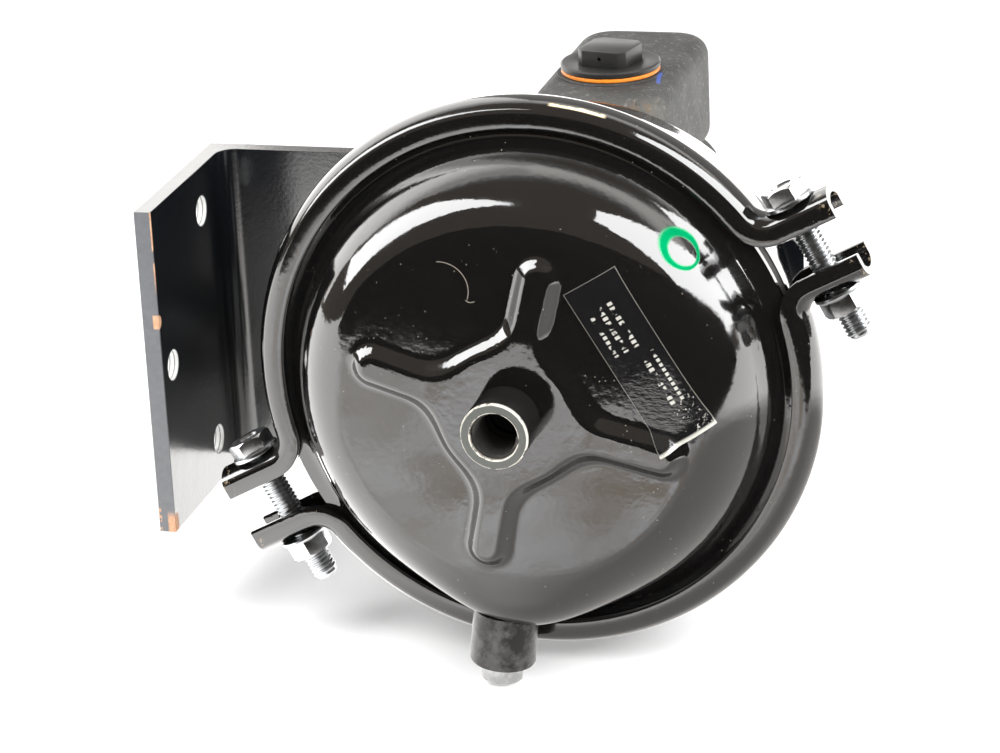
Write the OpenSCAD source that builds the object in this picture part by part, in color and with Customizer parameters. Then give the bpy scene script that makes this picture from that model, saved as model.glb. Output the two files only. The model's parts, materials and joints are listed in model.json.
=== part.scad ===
// Air-over-hydraulic brake actuator: an air chamber held by a two-piece clamp ring, bolted through a
// steel angle bracket to a hydraulic cylinder whose casting carries the fluid reservoir and its cap.
// Every module is drawn in chamber coordinates: X right, Y up, Z forward along the chamber axis, with
// Z = 0 at the clamped diaphragm rim. place() turns that into the part's frame, +Z up, whose origin
// lies on the bracket's mounting face, midway between its two rear bolt holes.

/* [Clamp ring] */
// Outer diameter of the closed clamp ring
clamp_dia = 205.6; // [204:0.2:212]
// Width of the clamp channel along the chamber axis
clamp_w = 17.6; // [17.6:0.2:21]
// Radial depth of the clamp channel
clamp_depth = 10.2; // [9.6:0.1:11]
// Sheet thickness of the clamp ring
clamp_sheet = 3; // [2:0.1:3.2]
// Outer corner radius of the clamp channel
clamp_corner = 7.6; // [5:0.1:8]
// Angle of the split line above the horizontal
split_angle = 27.5; // [20:0.5:35]
// Half of the gap between the two clamp ears
ear_half_gap = 7.2; // [5:0.1:9]
// Length of an ear past the ring's outside
ear_len = 24.2; // [21:0.1:30]
// Distance from the ring's outside to a clamp bolt
bolt_out = 9.7; // [9.4:0.1:13]

/* [Clamp bolts] */
// Diameter of a clamp bolt
bolt_dia = 9.5; // [8:0.1:9.8]
// Clearance of a bolt in its hole, on the radius
bolt_clear = 0.4; // [0.2:0.1:0.6]
// Width across flats of the bolt heads and nuts
bolt_flats = 14.3; // [13:0.1:15]
// Height of a bolt's hexagon
bolt_head_h = 5; // [4:0.1:7]
// Height of a clamp nut's hexagon
nut_h = 6.2; // [5:0.1:9]
// Diameter of the pressed flange under heads and nuts
bolt_flange_dia = 18; // [16:0.1:19]
// Thickness of the pressed flange
bolt_flange_t = 1.6; // [1:0.1:2.2]
// How far a bolt runs out past its nut
bolt_past_nut = 10.4; // [4:0.1:14]

/* [Air chamber] */
// Sheet thickness of both housings
sheet = 2.6; // [2:0.1:3]
// Gap between the clamp's inside and the rims of the two housing flanges
flange_gap = 3.8; // [3.7:0.1:5]
// Width of the front housing's flange
flange_w = 8; // [7:0.5:9]
// Thickness of the diaphragm's clamped rim
rim_t = 6; // [5:0.1:6]
// Height of the front face above the clamped rim
front_h = 40; // [38:0.5:46]
// Radius of the front housing's shoulder
shoulder_r = 29; // [26:0.5:30]
// How far the front wall leans in between its flange and the shoulder
wall_run = 3.5; // [2:0.1:5]
// Angle over which the leaning wall meets the shoulder
wall_lean = 14; // [8:1:20]
// Height of the raised pad and ribs
emboss_h = 3.6; // [2:0.1:4.5]
// Distance from the raised central pad to the edge of the flat face
pad_in = 24.5; // [22:0.5:28]
// How much the raised pad narrows towards its top
pad_slope = 10; // [4:0.5:14]
// How far a raised rib runs past the edge of the flat face
rib_past = 5.5; // [0:0.5:6]
// Width of a raised rib at the face
rib_w = 17; // [14:0.5:20]
// Angles of the four raised ribs
rib_angles = [79, 162, 259, 347]; // [0:1:359]
// Depth of the rear housing behind the clamped rim
rear_depth = 80; // [78:0.5:90]
// Width of the rear housing's flange
rear_flange_w = 6; // [5:0.5:8]
// How far the rear wall leans in from its flange to its back
rear_taper = 10; // [6:0.5:12]
// Corner radius at the back of the rear housing
rear_corner = 10; // [6:0.5:14]
// Diameter of a drain hole in the rear housing
drain_dia = 9; // [6:0.5:12]

/* [Air ports] */
// Outer diameter of the two welded port bosses
boss_dia = 24; // [22:0.5:28]
// Length of the centre boss above the pad
boss_len = 18.4; // [14:0.1:26]
// Diameter of the ports' threaded bore
port_dia = 14.9; // [13:0.1:17]
// Diameter of the chamfer at a port's mouth
port_mouth = 17; // [16:0.1:18.5]
// Angle of the side port away from straight down
side_port_angle = 6.5; // [0:0.5:14]
// Length of the side boss beyond the bulge's tip
side_boss_len = 16.5; // [14:0.5:24]
// Height of the side port's axis above the clamped rim
side_port_z = 22.5; // [22:0.1:24]
// How far the tip of the bulge over the side port lies inside the wall's foot
bulge_in = 2; // [0:0.5:4]
// Radius of the bulge's tip
bulge_tip_r = 25; // [22:0.5:28]
// Radius of the bulge's front edge
bulge_edge = 13; // [8:0.5:16]
// Direction of the bulge from the chamber axis
bulge_turn = -89; // [-100:1:-80]
// Width across flats of the side port's plug
plug_flats = 14; // [12:0.1:16]
// Height of the side port's plug below its boss
plug_h = 7.2; // [5:0.1:10]
// Height of the taper at the plug's end
plug_taper = 2; // [1:0.1:3]

/* [Push rod] */
// Working stroke of the actuator
stroke = 63.5; // [50:0.5:63.5]
// Diameter of the push rod
rod_dia = 15.88; // [14:0.02:16]
// How far the push plate's edge lies inside the edge of the flat face
plate_in = 0.5; // [0.5:0.5:8]
// Thickness of the push plate
plate_t = 3.2; // [2.5:0.1:4]
// Height of the push plate's hub and spring rim
hub_h = 4; // [3:0.1:6]
// Wall of the push plate's hub around the rod
hub_wall = 5; // [3.5:0.1:7]
// Thickness of the diaphragm
diaphragm_t = 3; // [2:0.1:3.5]
// Wire diameter of the chamber's return spring
spring_wire = 4.6; // [3.5:0.1:5]
// Mean diameter of the return spring
spring_dia = 74; // [66:0.5:90]
// Turns of the return spring
spring_turns = 6; // [4:0.5:8]

/* [Bracket] */
// Thickness of the bracket's two legs
bracket_t = 6.35; // [6:0.05:8]
// Height of the bracket
bracket_h = 125; // [120:0.5:140]
// Height of the chamber axis above the bracket's middle
bracket_drop = 8.5; // [0:0.5:12]
// Gap between the clamp ring and the side leg's inner face
side_leg_gap = 39.3; // [35:0.1:47]
// Length of the side leg, from its free edge to the back leg's front face
side_leg_len = 79; // [72:0.5:84]
// Distance from the chamber axis to the back leg's free edge
back_leg_reach = 81.5; // [81:0.5:95]
// Cut of the back leg's two free corners
back_corner_cut = 31.5; // [10:0.5:34]
// Inside fillet between the two legs
bracket_fillet = 7; // [4:0.5:10]
// Diameter of the three mounting holes
mount_hole_dia = 11.1; // [9:0.1:13]
// Vertical spacing of the two rear mounting holes
mount_spacing = 92; // [80:0.5:100]
// Distance from the back leg's front face forward to the rear mounting holes
rear_holes_at = 26; // [20:0.5:32]
// Distance from the rear mounting holes forward to the front one
front_hole_ahead = 42; // [34:0.5:44]

/* [Studs] */
// Distance from a mounting stud to where the rear housing's floor curves up
stud_in = 9.675; // [9.6:0.005:12]
// Diameter of a mounting stud
stud_dia = 15.88; // [14:0.02:16]
// Clearance of a stud in its holes, on the radius
stud_clear = 0.4; // [0.2:0.1:0.8]
// Width across flats of a stud nut
stud_nut_flats = 23.8; // [22:0.1:25]
// Height of a stud nut
stud_nut_h = 13.5; // [10:0.1:16]
// How far a stud's head stands out around its shank
stud_head_w = 1.6; // [1:0.1:1.7]
// Thickness of a stud's head
stud_head_t = 4; // [3:0.1:6]
// How far a stud runs out past its nut
stud_past_nut = 5; // [3:0.5:12]
// Chamfer at a stud's tip
stud_chamfer = 1.5; // [0.8:0.1:2]
// Thickness of a stud washer
stud_washer_t = 3; // [2:0.1:4]

/* [Cylinder] */
// Diameter of the hydraulic bore
bore_dia = 31.75; // [28:0.05:33]
// Wall of the cylinder around its bore
cyl_wall = 7; // [6:0.1:9]
// Thickness of the casting's mounting flange
cyl_flange_t = 12; // [9:0.5:15]
// Thickness of the flange gasket
gasket_t = 0.8; // [0.5:0.1:1.5]
// Diameter of the casting's pilot through bracket and housing
pilot_dia = 44; // [43:0.1:47]
// Diameter of the seat for the rod guide
guide_dia = 36; // [35:0.1:38]
// Length of the piston
piston_len = 48; // [46:0.5:56]
// Room left for the piston spring at full stroke
spring_room = 16; // [15:0.5:24]
// Thickness of the cylinder's closed end
end_wall = 10; // [10:0.5:16]
// Diameter of the outlet port's thread
outlet_dia = 11; // [9.6:0.1:12]
// Depth of the outlet port's thread
outlet_depth = 8; // [7:0.1:8.4]
// Height of the outlet port's boss
outlet_boss_h = 4; // [2:0.1:6]
// Diameter of the tube seat at the outlet port's bottom
tube_seat_dia = 8.4; // [7:0.1:9]
// Thickness of the tube seat
tube_seat_t = 5; // [4:0.1:5.4]
// Diameter of the drilling from the bore to the outlet
outlet_drill = 4; // [3:0.1:4.4]
// Distance from the bore's closed end to the bleed screw
bleed_ahead = 8; // [6:0.1:12]
// Height of the bleed screw's boss above the cylinder
bleed_boss_h = 4; // [2:0.1:6]
// Width across flats of the bleed screw
bleed_flats = 8; // [7:0.1:10]
// Diameter of the bleed screw's shank
bleed_dia = 6.4; // [5.4:0.1:6.8]
// Diameter of the bleed screw's nipple
nipple_dia = 5.2; // [4.6:0.1:5.8]
// Length of the bleed screw's nipple
nipple_len = 7.5; // [6:0.1:10]
// Diameter of the recess for the rod wiper
wiper_dia = 22.88; // [21:0.02:24]
// Thickness of the rod wiper
wiper_t = 4; // [3:0.1:5]
// Width of the rear cup's groove in the piston
cup_groove_w = 5; // [4:0.1:6]
// Depth of the rear cup's groove in the piston
cup_groove_d = 4; // [3:0.1:5]
// Distance from the piston's front to the rear cup's groove
cup_groove_at = 4; // [3:0.1:6]
// Thickness of the primary cup
cup_t = 7; // [6:0.1:9]
// Diameter of the piston's nose inside the primary cup
nose_dia = 6; // [5:0.1:8]
// Mean diameter of the piston spring
piston_spring_dia = 21; // [19:0.1:23]
// Wire diameter of the piston spring
piston_wire = 1.8; // [1.2:0.1:2]
// Turns of the piston spring
piston_turns = 7; // [5:0.5:8]

/* [Reservoir] */
// Height of the reservoir's top above the chamber axis
res_top = 75; // [72:0.5:84]
// Height of the reservoir's underside above the chamber axis
res_bottom = 32; // [30:0.5:42]
// Reach of the reservoir to the left of the axis
res_left = 25; // [22:0.5:28]
// Reach of the reservoir to the right of the axis
res_right = 27; // [26:0.5:36]
// Distance from the bracket's front face back to the reservoir
res_start = 12; // [10:0.5:24]
// Length of the reservoir along the cylinder
res_len = 98; // [88:0.5:100]
// Radius of the reservoir's upright corners
res_corner = 14; // [12:0.5:20]
// Radius of the reservoir's top and bottom edges
res_edge = 8; // [5:0.5:9]
// Wall of the reservoir
res_wall = 4.5; // [3.5:0.1:6]

/* [Filler cap] */
// Distance from the reservoir's front to the cap's axis
cap_back = 34; // [28:0.5:46]
// Diameter of the cap's disc
cap_dia = 38; // [36:0.5:44]
// Thickness of the cap's disc
cap_t = 2.2; // [1.5:0.1:3]
// Diameter of the cap's threaded stem
cap_stem_dia = 29.8; // [26:0.1:31]
// Length of the cap's threaded stem below the seal
cap_stem_len = 9.5; // [6:0.1:10]
// Side of the cap's square head
cap_head = 20; // [16:0.5:22]
// Corner cut of the cap's head
cap_head_cut = 4; // [2:0.1:5]
// Height of the cap's head
cap_head_h = 5.8; // [4:0.1:8]
// Turn of the cap's head
cap_turn = -9; // [-45:1:45]
// Diameter of the vent hole in the cap's head
vent_dia = 1.5; // [1:0.1:2.5]
// Thickness of the cap's seal ring
seal_t = 1.8; // [1.2:0.1:3]
// Wall of the cap's hollow stem
stem_wall = 3; // [2:0.1:4]
// Diameter of the hole in the cap's baffle
baffle_hole = 8; // [4:0.1:12]
// Height of the raised neck under the seal
neck_h = 0.6; // [0.4:0.1:2]
// Diameter of the raised neck
neck_dia = 41; // [40:0.5:45]

/* [Label] */
// Width of the sticker on the front face
label_w = 21; // [16:0.5:24]
// Length of the sticker
label_len = 63; // [40:0.5:64]
// Thickness of the sticker
label_t = 0.3; // [0.2:0.05:0.5]
// Direction of the sticker from the chamber axis
label_turn = 31; // [0:1:60]
// Distance from the sticker's middle line to the edge of the flat face
label_in = 4.2; // [1:0.1:9]
// Shift of the sticker along its middle line
label_along = -4; // [-12:0.5:12]

/* [Hidden] */
$fn = 64;
seat = 0.3;         // gap of a piece resting on a piece of another body
slip = 0.06;        // radial clearance of a running fit
press = 0.05;       // radial gap left at a pressed or glued fit
cut = 1;            // how far a cutting shape runs past a face
seam_turn = 35;     // direction of the dome's seam, clear of ribs and ports
swing = 18;         // points per turn of a coil spring's path

// Chamber radii, from the clamp ring inwards
clamp_r = clamp_dia / 2;
flange_r = clamp_r - clamp_sheet - flange_gap;
wall_r = flange_r - flange_w;
face_r = wall_r - wall_run - shoulder_r;
pad_r = face_r - pad_in;
rib_reach = face_r + rib_past;
bulge_reach = wall_r - bulge_in;
side_port_reach = bulge_reach + side_boss_len;
rear_wall_r = flange_r - rear_flange_w;
rear_back_r = rear_wall_r - rear_taper;
stud_at = rear_back_r - rear_corner - stud_in;
plate_r = face_r - plate_in;
side_leg_at = clamp_r + side_leg_gap;
clamp_bolt_at = clamp_r + bolt_out;
ear_reach = clamp_r + ear_len;
label_out = face_r - label_in;

// Chamber stack, forward and back of the clamped rim
flange_z = rim_t / 2;
shoulder_base_z = front_h - shoulder_r;
pad_z = front_h + emboss_h;
rib_drop = 0.4;     // how far the ribs' crowns stay under the pad's top
plate_front = front_h - sheet - diaphragm_t - 2 * seat;
plate_back = plate_front - plate_t;
back_z = -rear_depth;
bracket_back = back_z - bracket_t;
flange_face = bracket_back - gasket_t;
flange_back = flange_face - cyl_flange_t;

// Cylinder stack, from the pilot's mouth to the closed end
pilot_front = back_z + sheet - cut;
bore_r = bore_dia / 2;
guide_r = guide_dia / 2;
bore_front = flange_face - 5;
stop_t = 2;
snap_t = 1.5;
piston_front = bore_front - seat;
piston_back = piston_front - piston_len;
retainer_t = 1.6;
bore_end = piston_back - cup_t - retainer_t - stroke - spring_room;
cyl_r = bore_r + cyl_wall;
cyl_end = bore_end - end_wall;
land = 11.5;        // length of the piston's rear land
waist = 9.6;        // radius of the piston between its lands
front_land = 15;    // length of the piston's front land
socket = 11;        // depth of the rod's socket in the piston
rod_r = rod_dia / 2;
rod_tip = piston_front - socket;
outlet_end = cyl_end - outlet_boss_h;
tube_seat_z = outlet_end + outlet_depth;
spring_r = piston_spring_dia / 2;

// Reservoir and cap
res_front_z = back_z - res_start;
res_back_z = res_front_z - res_len;
cap_z = res_front_z - cap_back;
neck_top = res_top + neck_h;
cap_under = neck_top + seal_t;
stem_r = cap_stem_dia / 2;
neck_bore_r = stem_r + 0.08;
bleed_z = bore_end + bleed_ahead;
bleed_seat = cyl_r + bleed_boss_h;
bleed_hex_h = 6;
bleed_r = bleed_dia / 2;
nipple_z = bleed_seat + seat + bleed_hex_h;
pedestal_in = 12;   // how far the pedestal stays inside the reservoir's two ends

// Clamp ring
ear_v = ear_half_gap + clamp_depth;
ear_overlap = 6;
bolt_r = bolt_dia / 2;
nut_end = -ear_v - bolt_flange_t - nut_h;

// Bracket
mount_origin = [-side_leg_at - bracket_t, -bracket_drop, back_z + rear_holes_at];

module place() {
    translate([-mount_origin[0], mount_origin[2], -mount_origin[1]]) rotate([90, 0, 0]) children();
}

// Things drawn with their axis up, turned to point along +Y of the chamber coordinates
module upright() {
    rotate([-90, 0, 0]) children();
}

module tube(outer, inner, z0, z1) {
    translate([0, 0, z0]) difference() {
        cylinder(r = outer, h = z1 - z0);
        translate([0, 0, -cut]) cylinder(r = inner, h = z1 - z0 + 2 * cut);
    }
}

module hexagon(flats, h) {
    cylinder(d = flats / cos(30), h = h, $fn = 6);
}

// Rounded rectangle from corner to corner, exact arcs
module round_rect(x0, x1, y0, y1, r) {
    translate([x0 + r, y0]) square([x1 - x0 - 2 * r, y1 - y0]);
    translate([x0, y0 + r]) square([x1 - x0, y1 - y0 - 2 * r]);
    for (x = [x0 + r, x1 - r], y = [y0 + r, y1 - r]) translate([x, y]) circle(r = r);
}

// Block with upright corners of radius r and top and bottom edges of radius e, standing on z = 0
module soft_block(x0, x1, y0, y1, h, r, e) {
    intersection() {
        translate([0, 0, -cut]) linear_extrude(h + 2 * cut) round_rect(x0, x1, y0, y1, r);
        translate([0, y1 + cut, 0]) rotate([90, 0, 0]) linear_extrude(y1 - y0 + 2 * cut)
            round_rect(x0, x1, 0, h, e);
        translate([x0 - cut, 0, 0]) rotate([90, 0, 90]) linear_extrude(x1 - x0 + 2 * cut)
            round_rect(y0, y1, 0, h, e);
    }
}

// Closed wire coil along Z: points on a helix, each ring square to the path
module coil(mean_r, wire_r, z0, z1, turns) {
    steps = floor(turns * swing);
    sides = 8;
    lead = (z1 - z0) / steps;
    tilt = atan2(lead, 2 * PI * mean_r / swing);
    rings = [for (i = [0:steps], k = [0:sides - 1])
        let (a = 360 * i / swing, b = 360 * k / sides, out = mean_r + wire_r * cos(b))
        [out * cos(a) + wire_r * sin(b) * sin(tilt) * sin(a),
         out * sin(a) - wire_r * sin(b) * sin(tilt) * cos(a),
         z0 + lead * i + wire_r * sin(b) * cos(tilt)]];
    sheets = [for (i = [0:steps - 1], k = [0:sides - 1])
        let (n = (k + 1) % sides)
        [i * sides + k, (i + 1) * sides + k, (i + 1) * sides + n, i * sides + n]];
    first = [[for (k = [0:sides - 1]) k]];
    last = [[for (k = [sides - 1:-1:0]) steps * sides + k]];
    polyhedron(points = rings, faces = concat(sheets, first, last), convexity = 10);
}

// Pressed front housing: half profile of its outer or inner skin from height z0, as radius and height
module front_skin(off, z0) {
    r = shoulder_r - off;
    low = flange_z + sheet - off;
    in_r = r - 0.4;
    intersection() {
        union() {
            translate([face_r, shoulder_base_z]) circle(r = r);
            translate([0, z0]) square([face_r, front_h - off - z0]);
            polygon([[0, z0], [wall_r - off, z0], [wall_r - off, low], [face_r + in_r * cos(wall_lean),
                shoulder_base_z + in_r * sin(wall_lean)], [0, shoulder_base_z + in_r * sin(wall_lean)]]);
        }
        translate([0, z0]) square([wall_r + cut, 2 * front_h]);
    }
}

// The dome's seam is turned to where no rib, bulge or port crosses it
module turned_skin(off, z0) {
    rotate([0, 0, seam_turn]) rotate_extrude() front_skin(off, z0);
}

// Bulge over the side port: a round-shouldered dome beside the main one
module bulge(off) {
    edge = bulge_edge - off;
    wide = bulge_tip_r - bulge_edge;
    low = flange_z + sheet / 2;
    top = front_h - 1 - off;
    rotate([0, 0, bulge_turn]) translate([bulge_reach - bulge_tip_r, 0, 0]) rotate_extrude() {
        translate([0, low]) square([wide + edge, top - edge - low]);
        translate([0, low]) square([wide, top - low]);
        intersection() {
            translate([wide, top - edge]) circle(r = edge);
            translate([wide, top - edge]) square(edge);
        }
    }
}

// Raised pad and ribs: round-topped bars whose crowns stand out of the flat face
module emboss(off) {
    bar_r = (rib_w * rib_w / 4 + emboss_h * emboss_h) / (2 * emboss_h);
    low = front_h - sheet - off / 2;
    rotate([0, 0, seam_turn]) translate([0, 0, low]) cylinder(r1 = pad_r + pad_slope / 10 - off,
        r2 = pad_r - pad_slope * 0.4 - off, h = pad_z - off - low);
    intersection() {
        for (a = rib_angles) rotate([0, 0, a]) translate([0, 0, pad_z - rib_drop - bar_r]) rotate([0, 90, 0]) {
            cylinder(r = bar_r - off, h = rib_reach - rib_w / 2);
            translate([0, 0, rib_reach - rib_w / 2]) sphere(r = bar_r - off - rib_drop);
        }
        translate([-wall_r, -wall_r, low]) cube([2 * wall_r, 2 * wall_r, 2 * emboss_h + sheet]);
    }
}

module pressure_housing() {
    color([0.05, 0.05, 0.05]) difference() {
        union() {
            translate([0, 0, flange_z]) cylinder(r = flange_r, h = sheet);
            turned_skin(0, flange_z);
            bulge(0);
            emboss(0);
        }
        turned_skin(sheet, flange_z - cut);
        bulge(sheet);
        emboss(sheet);
        translate([0, 0, front_h - sheet - cut]) cylinder(r = boss_dia / 2 + press, h = 3 * sheet + emboss_h);
        side_port_axis() cylinder(r = boss_dia / 2 + press, h = side_port_reach);
    }
}

module side_port_axis() {
    translate([0, 0, side_port_z]) rotate([0, 0, -side_port_angle]) rotate([90, 0, 0]) children();
}

module port_thread(mouth, depth) {
    chamfer = (port_mouth - port_dia) / 2;
    translate([0, 0, mouth - depth]) cylinder(d = port_dia, h = depth + cut);
    translate([0, 0, mouth - chamfer]) cylinder(d1 = port_dia, d2 = port_mouth + 2 * cut, h = chamfer + cut);
}

module centre_port_boss() {
    front = pad_z + boss_len;
    inner = front_h - sheet;
    color([0.12, 0.12, 0.12]) difference() {
        translate([0, 0, inner]) cylinder(d = boss_dia, h = front - inner);
        port_thread(front, front - inner + cut);
    }
}

module side_port_boss() {
    inner = bulge_reach - sheet - 1;
    color([0.12, 0.12, 0.12]) side_port_axis() difference() {
        translate([0, 0, inner]) cylinder(d = boss_dia, h = side_port_reach - inner);
        port_thread(side_port_reach, side_port_reach - inner + cut);
    }
}

module side_port_plug() {
    inner = bulge_reach;
    color([0.8, 0.82, 0.83]) side_port_axis() {
        translate([0, 0, inner]) cylinder(r = port_dia / 2 - press, h = side_port_reach - inner);
        translate([0, 0, side_port_reach]) hexagon(plug_flats, plug_h - plug_taper);
        translate([0, 0, side_port_reach + plug_h - plug_taper])
            cylinder(r1 = plug_flats / 2, r2 = plug_flats / 2 - plug_taper, h = plug_taper);
    }
}

module rear_skin(off) {
    c = rear_corner - off;
    back = rear_depth - off;
    wall = rear_back_r - off;
    polygon([[0, flange_z - cut], [rear_wall_r - off, flange_z - cut],
        [wall, back - c], [wall - c, back - c], [wall - c, back], [0, back]]);
    intersection() {
        translate([wall - c, back - c]) circle(r = c);
        translate([wall - c, back - c]) square(c);
    }
}

module rear_housing() {
    pilot_r = pilot_dia / 2 + press;
    color([0.05, 0.05, 0.05]) difference() {
        union() {
            translate([0, 0, -flange_z - sheet]) cylinder(r = flange_r, h = sheet);
            difference() {
                mirror([0, 0, 1]) rotate_extrude() rear_skin(0);
                translate([0, 0, -flange_z]) cylinder(r = flange_r, h = 2 * flange_z);
            }
        }
        mirror([0, 0, 1]) rotate_extrude() rear_skin(sheet);
        translate([0, 0, back_z - cut]) cylinder(r = pilot_r, h = sheet + 2 * cut);
        for (s = [-1, 1]) translate([s * stud_at, 0, back_z - cut])
            cylinder(r = stud_dia / 2 + press, h = sheet + 2 * cut);
        for (a = [225, 270, 315]) rotate([0, 0, a]) translate([0, 0, back_z / 2]) rotate([0, 90, 0])
            cylinder(d = drain_dia, h = flange_r);
    }
}

// Outside and hollow of the clamp channel: web at x = 0, lips running towards +X
module channel(off, reach) {
    half = clamp_w / 2 - off;
    intersection() {
        round_rect(off, 2 * clamp_depth + off, -half, half, clamp_corner - off);
        translate([-cut, -clamp_w]) square([reach + cut, 2 * clamp_w]);
    }
}

// One half of the ring, filled or hollow, with a straight ear at each end of its split line
module clamp_body(off, reach) {
    rotate([0, 0, 2]) rotate_extrude(angle = 176) translate([clamp_r, 0]) mirror([1, 0]) channel(off, reach);
    for (s = [0, 1]) mirror([s, 0, 0]) translate([clamp_r - ear_overlap + off, ear_v, 0]) rotate([90, 0, 90])
        linear_extrude(ear_reach - clamp_r + ear_overlap) mirror([1, 0]) channel(off, reach);
}

module clamp_half() {
    difference() {
        clamp_body(0, clamp_depth);
        clamp_body(clamp_sheet, clamp_depth + cut);
        translate([-2 * clamp_r, ear_half_gap - 2 * clamp_depth, -clamp_w])
            cube([4 * clamp_r, 2 * clamp_depth, 2 * clamp_w]);
        for (s = [-1, 1]) translate([s * clamp_bolt_at, 0, 0]) rotate([-90, 0, 0])
            cylinder(r = bolt_r + bolt_clear, h = 2 * ear_v);
    }
}

module clamp_upper() {
    color([0.06, 0.06, 0.06]) rotate([0, 0, split_angle]) clamp_half();
}

module clamp_lower() {
    color([0.06, 0.06, 0.06]) rotate([0, 0, split_angle + 180]) clamp_half();
}

module at_clamp_bolts() {
    rotate([0, 0, split_angle]) for (s = [-1, 1]) translate([s * clamp_bolt_at, 0, 0])
        rotate([-90, 0, 0]) children();
}

module clamp_bolts() {
    color([0.8, 0.82, 0.83]) at_clamp_bolts() {
        translate([0, 0, nut_end - bolt_past_nut + 1]) cylinder(r = bolt_r, h = ear_v - nut_end + bolt_past_nut - 1);
        translate([0, 0, nut_end - bolt_past_nut]) cylinder(r1 = bolt_r - 1, r2 = bolt_r, h = 1);
        translate([0, 0, ear_v]) cylinder(d = bolt_flange_dia, h = bolt_flange_t);
        translate([0, 0, ear_v + bolt_flange_t]) hexagon(bolt_flats, bolt_head_h);
    }
}

module clamp_nuts() {
    color([0.8, 0.82, 0.83]) at_clamp_bolts() difference() {
        union() {
            translate([0, 0, nut_end]) hexagon(bolt_flats, nut_h);
            translate([0, 0, nut_end + nut_h]) cylinder(d = bolt_flange_dia, h = bolt_flange_t);
        }
        translate([0, 0, nut_end - cut]) cylinder(r = bolt_r + press, h = nut_h + bolt_flange_t + 2 * cut);
    }
}

// Moulded diaphragm: thick clamped rim, sloping wall, flat centre against the front housing
module diaphragm() {
    top = plate_front + seat + diaphragm_t;
    t = diaphragm_t;
    low = top - t;
    flat_r = plate_r + 2;
    foot_r = wall_r - sheet - 4;
    color([0.1, 0.1, 0.1]) rotate_extrude() polygon([[0, low], [flat_r - 1, low], [foot_r - t - 0.5, t / 2],
        [foot_r, -t / 2], [foot_r + 3, -t / 2], [foot_r + 3, -flange_z], [flange_r - seat, -flange_z],
        [flange_r - seat, flange_z], [foot_r + 3, flange_z], [foot_r + 3, t / 2], [foot_r + 1, t / 2 + 1],
        [flat_r + 3, top - 1.4], [face_r - 1, top], [0, top]]);
}

module push_plate() {
    r = plate_r;
    hub_r = rod_r + hub_wall;
    rim_r = spring_dia / 2 - spring_wire / 2 - 1;
    color([0.55, 0.56, 0.58]) difference() {
        union() {
            translate([0, 0, plate_back]) cylinder(r = r - 1, h = plate_t);
            translate([0, 0, plate_back + plate_t / 2]) rotate_extrude() translate([r - plate_t / 2, 0])
                circle(r = plate_t / 2);
            translate([0, 0, plate_back - hub_h]) cylinder(r1 = rod_r + hub_wall / 2, r2 = hub_r, h = hub_h);
            tube(rim_r, rim_r - 2, plate_back - hub_h, plate_back);
        }
        translate([0, 0, plate_back - hub_h - cut]) cylinder(r = rod_r + press, h = plate_t + hub_h + cut - 1);
    }
}

module push_rod() {
    color([0.6, 0.61, 0.63]) {
        translate([0, 0, rod_tip + rod_r]) cylinder(r = rod_r, h = plate_front - 1 - rod_tip - rod_r);
        translate([0, 0, rod_tip + rod_r]) sphere(r = rod_r);
    }
}

module return_spring() {
    r = spring_wire / 2;
    color([0.3, 0.3, 0.32])
        coil(spring_dia / 2, r, back_z + sheet + r + seat, plate_back - r - seat, spring_turns);
}

module mounting_studs() {
    tail = flange_back - stud_washer_t - stud_nut_h - stud_past_nut;
    color([0.7, 0.68, 0.55]) for (s = [-1, 1]) translate([s * stud_at, 0, 0]) {
        translate([0, 0, tail + stud_chamfer]) cylinder(d = stud_dia, h = back_z + sheet - tail - stud_chamfer);
        translate([0, 0, tail])
            cylinder(r1 = stud_dia / 2 - stud_chamfer, r2 = stud_dia / 2, h = stud_chamfer);
        translate([0, 0, back_z + sheet]) cylinder(r = stud_dia / 2 + stud_head_w, h = stud_head_t);
    }
}

module stud_washers() {
    color([0.75, 0.76, 0.78]) for (s = [-1, 1]) translate([s * stud_at, 0, 0])
        tube(stud_nut_flats / 2 + 2.5, stud_dia / 2 + stud_clear, flange_back - stud_washer_t, flange_back);
}

module stud_nuts() {
    top = flange_back - stud_washer_t;
    color([0.75, 0.76, 0.78]) for (s = [-1, 1]) translate([s * stud_at, 0, 0]) difference() {
        translate([0, 0, top - stud_nut_h]) hexagon(stud_nut_flats, stud_nut_h);
        translate([0, 0, top - stud_nut_h - cut]) cylinder(r = stud_dia / 2 + press, h = stud_nut_h + 2 * cut);
    }
}

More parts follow.
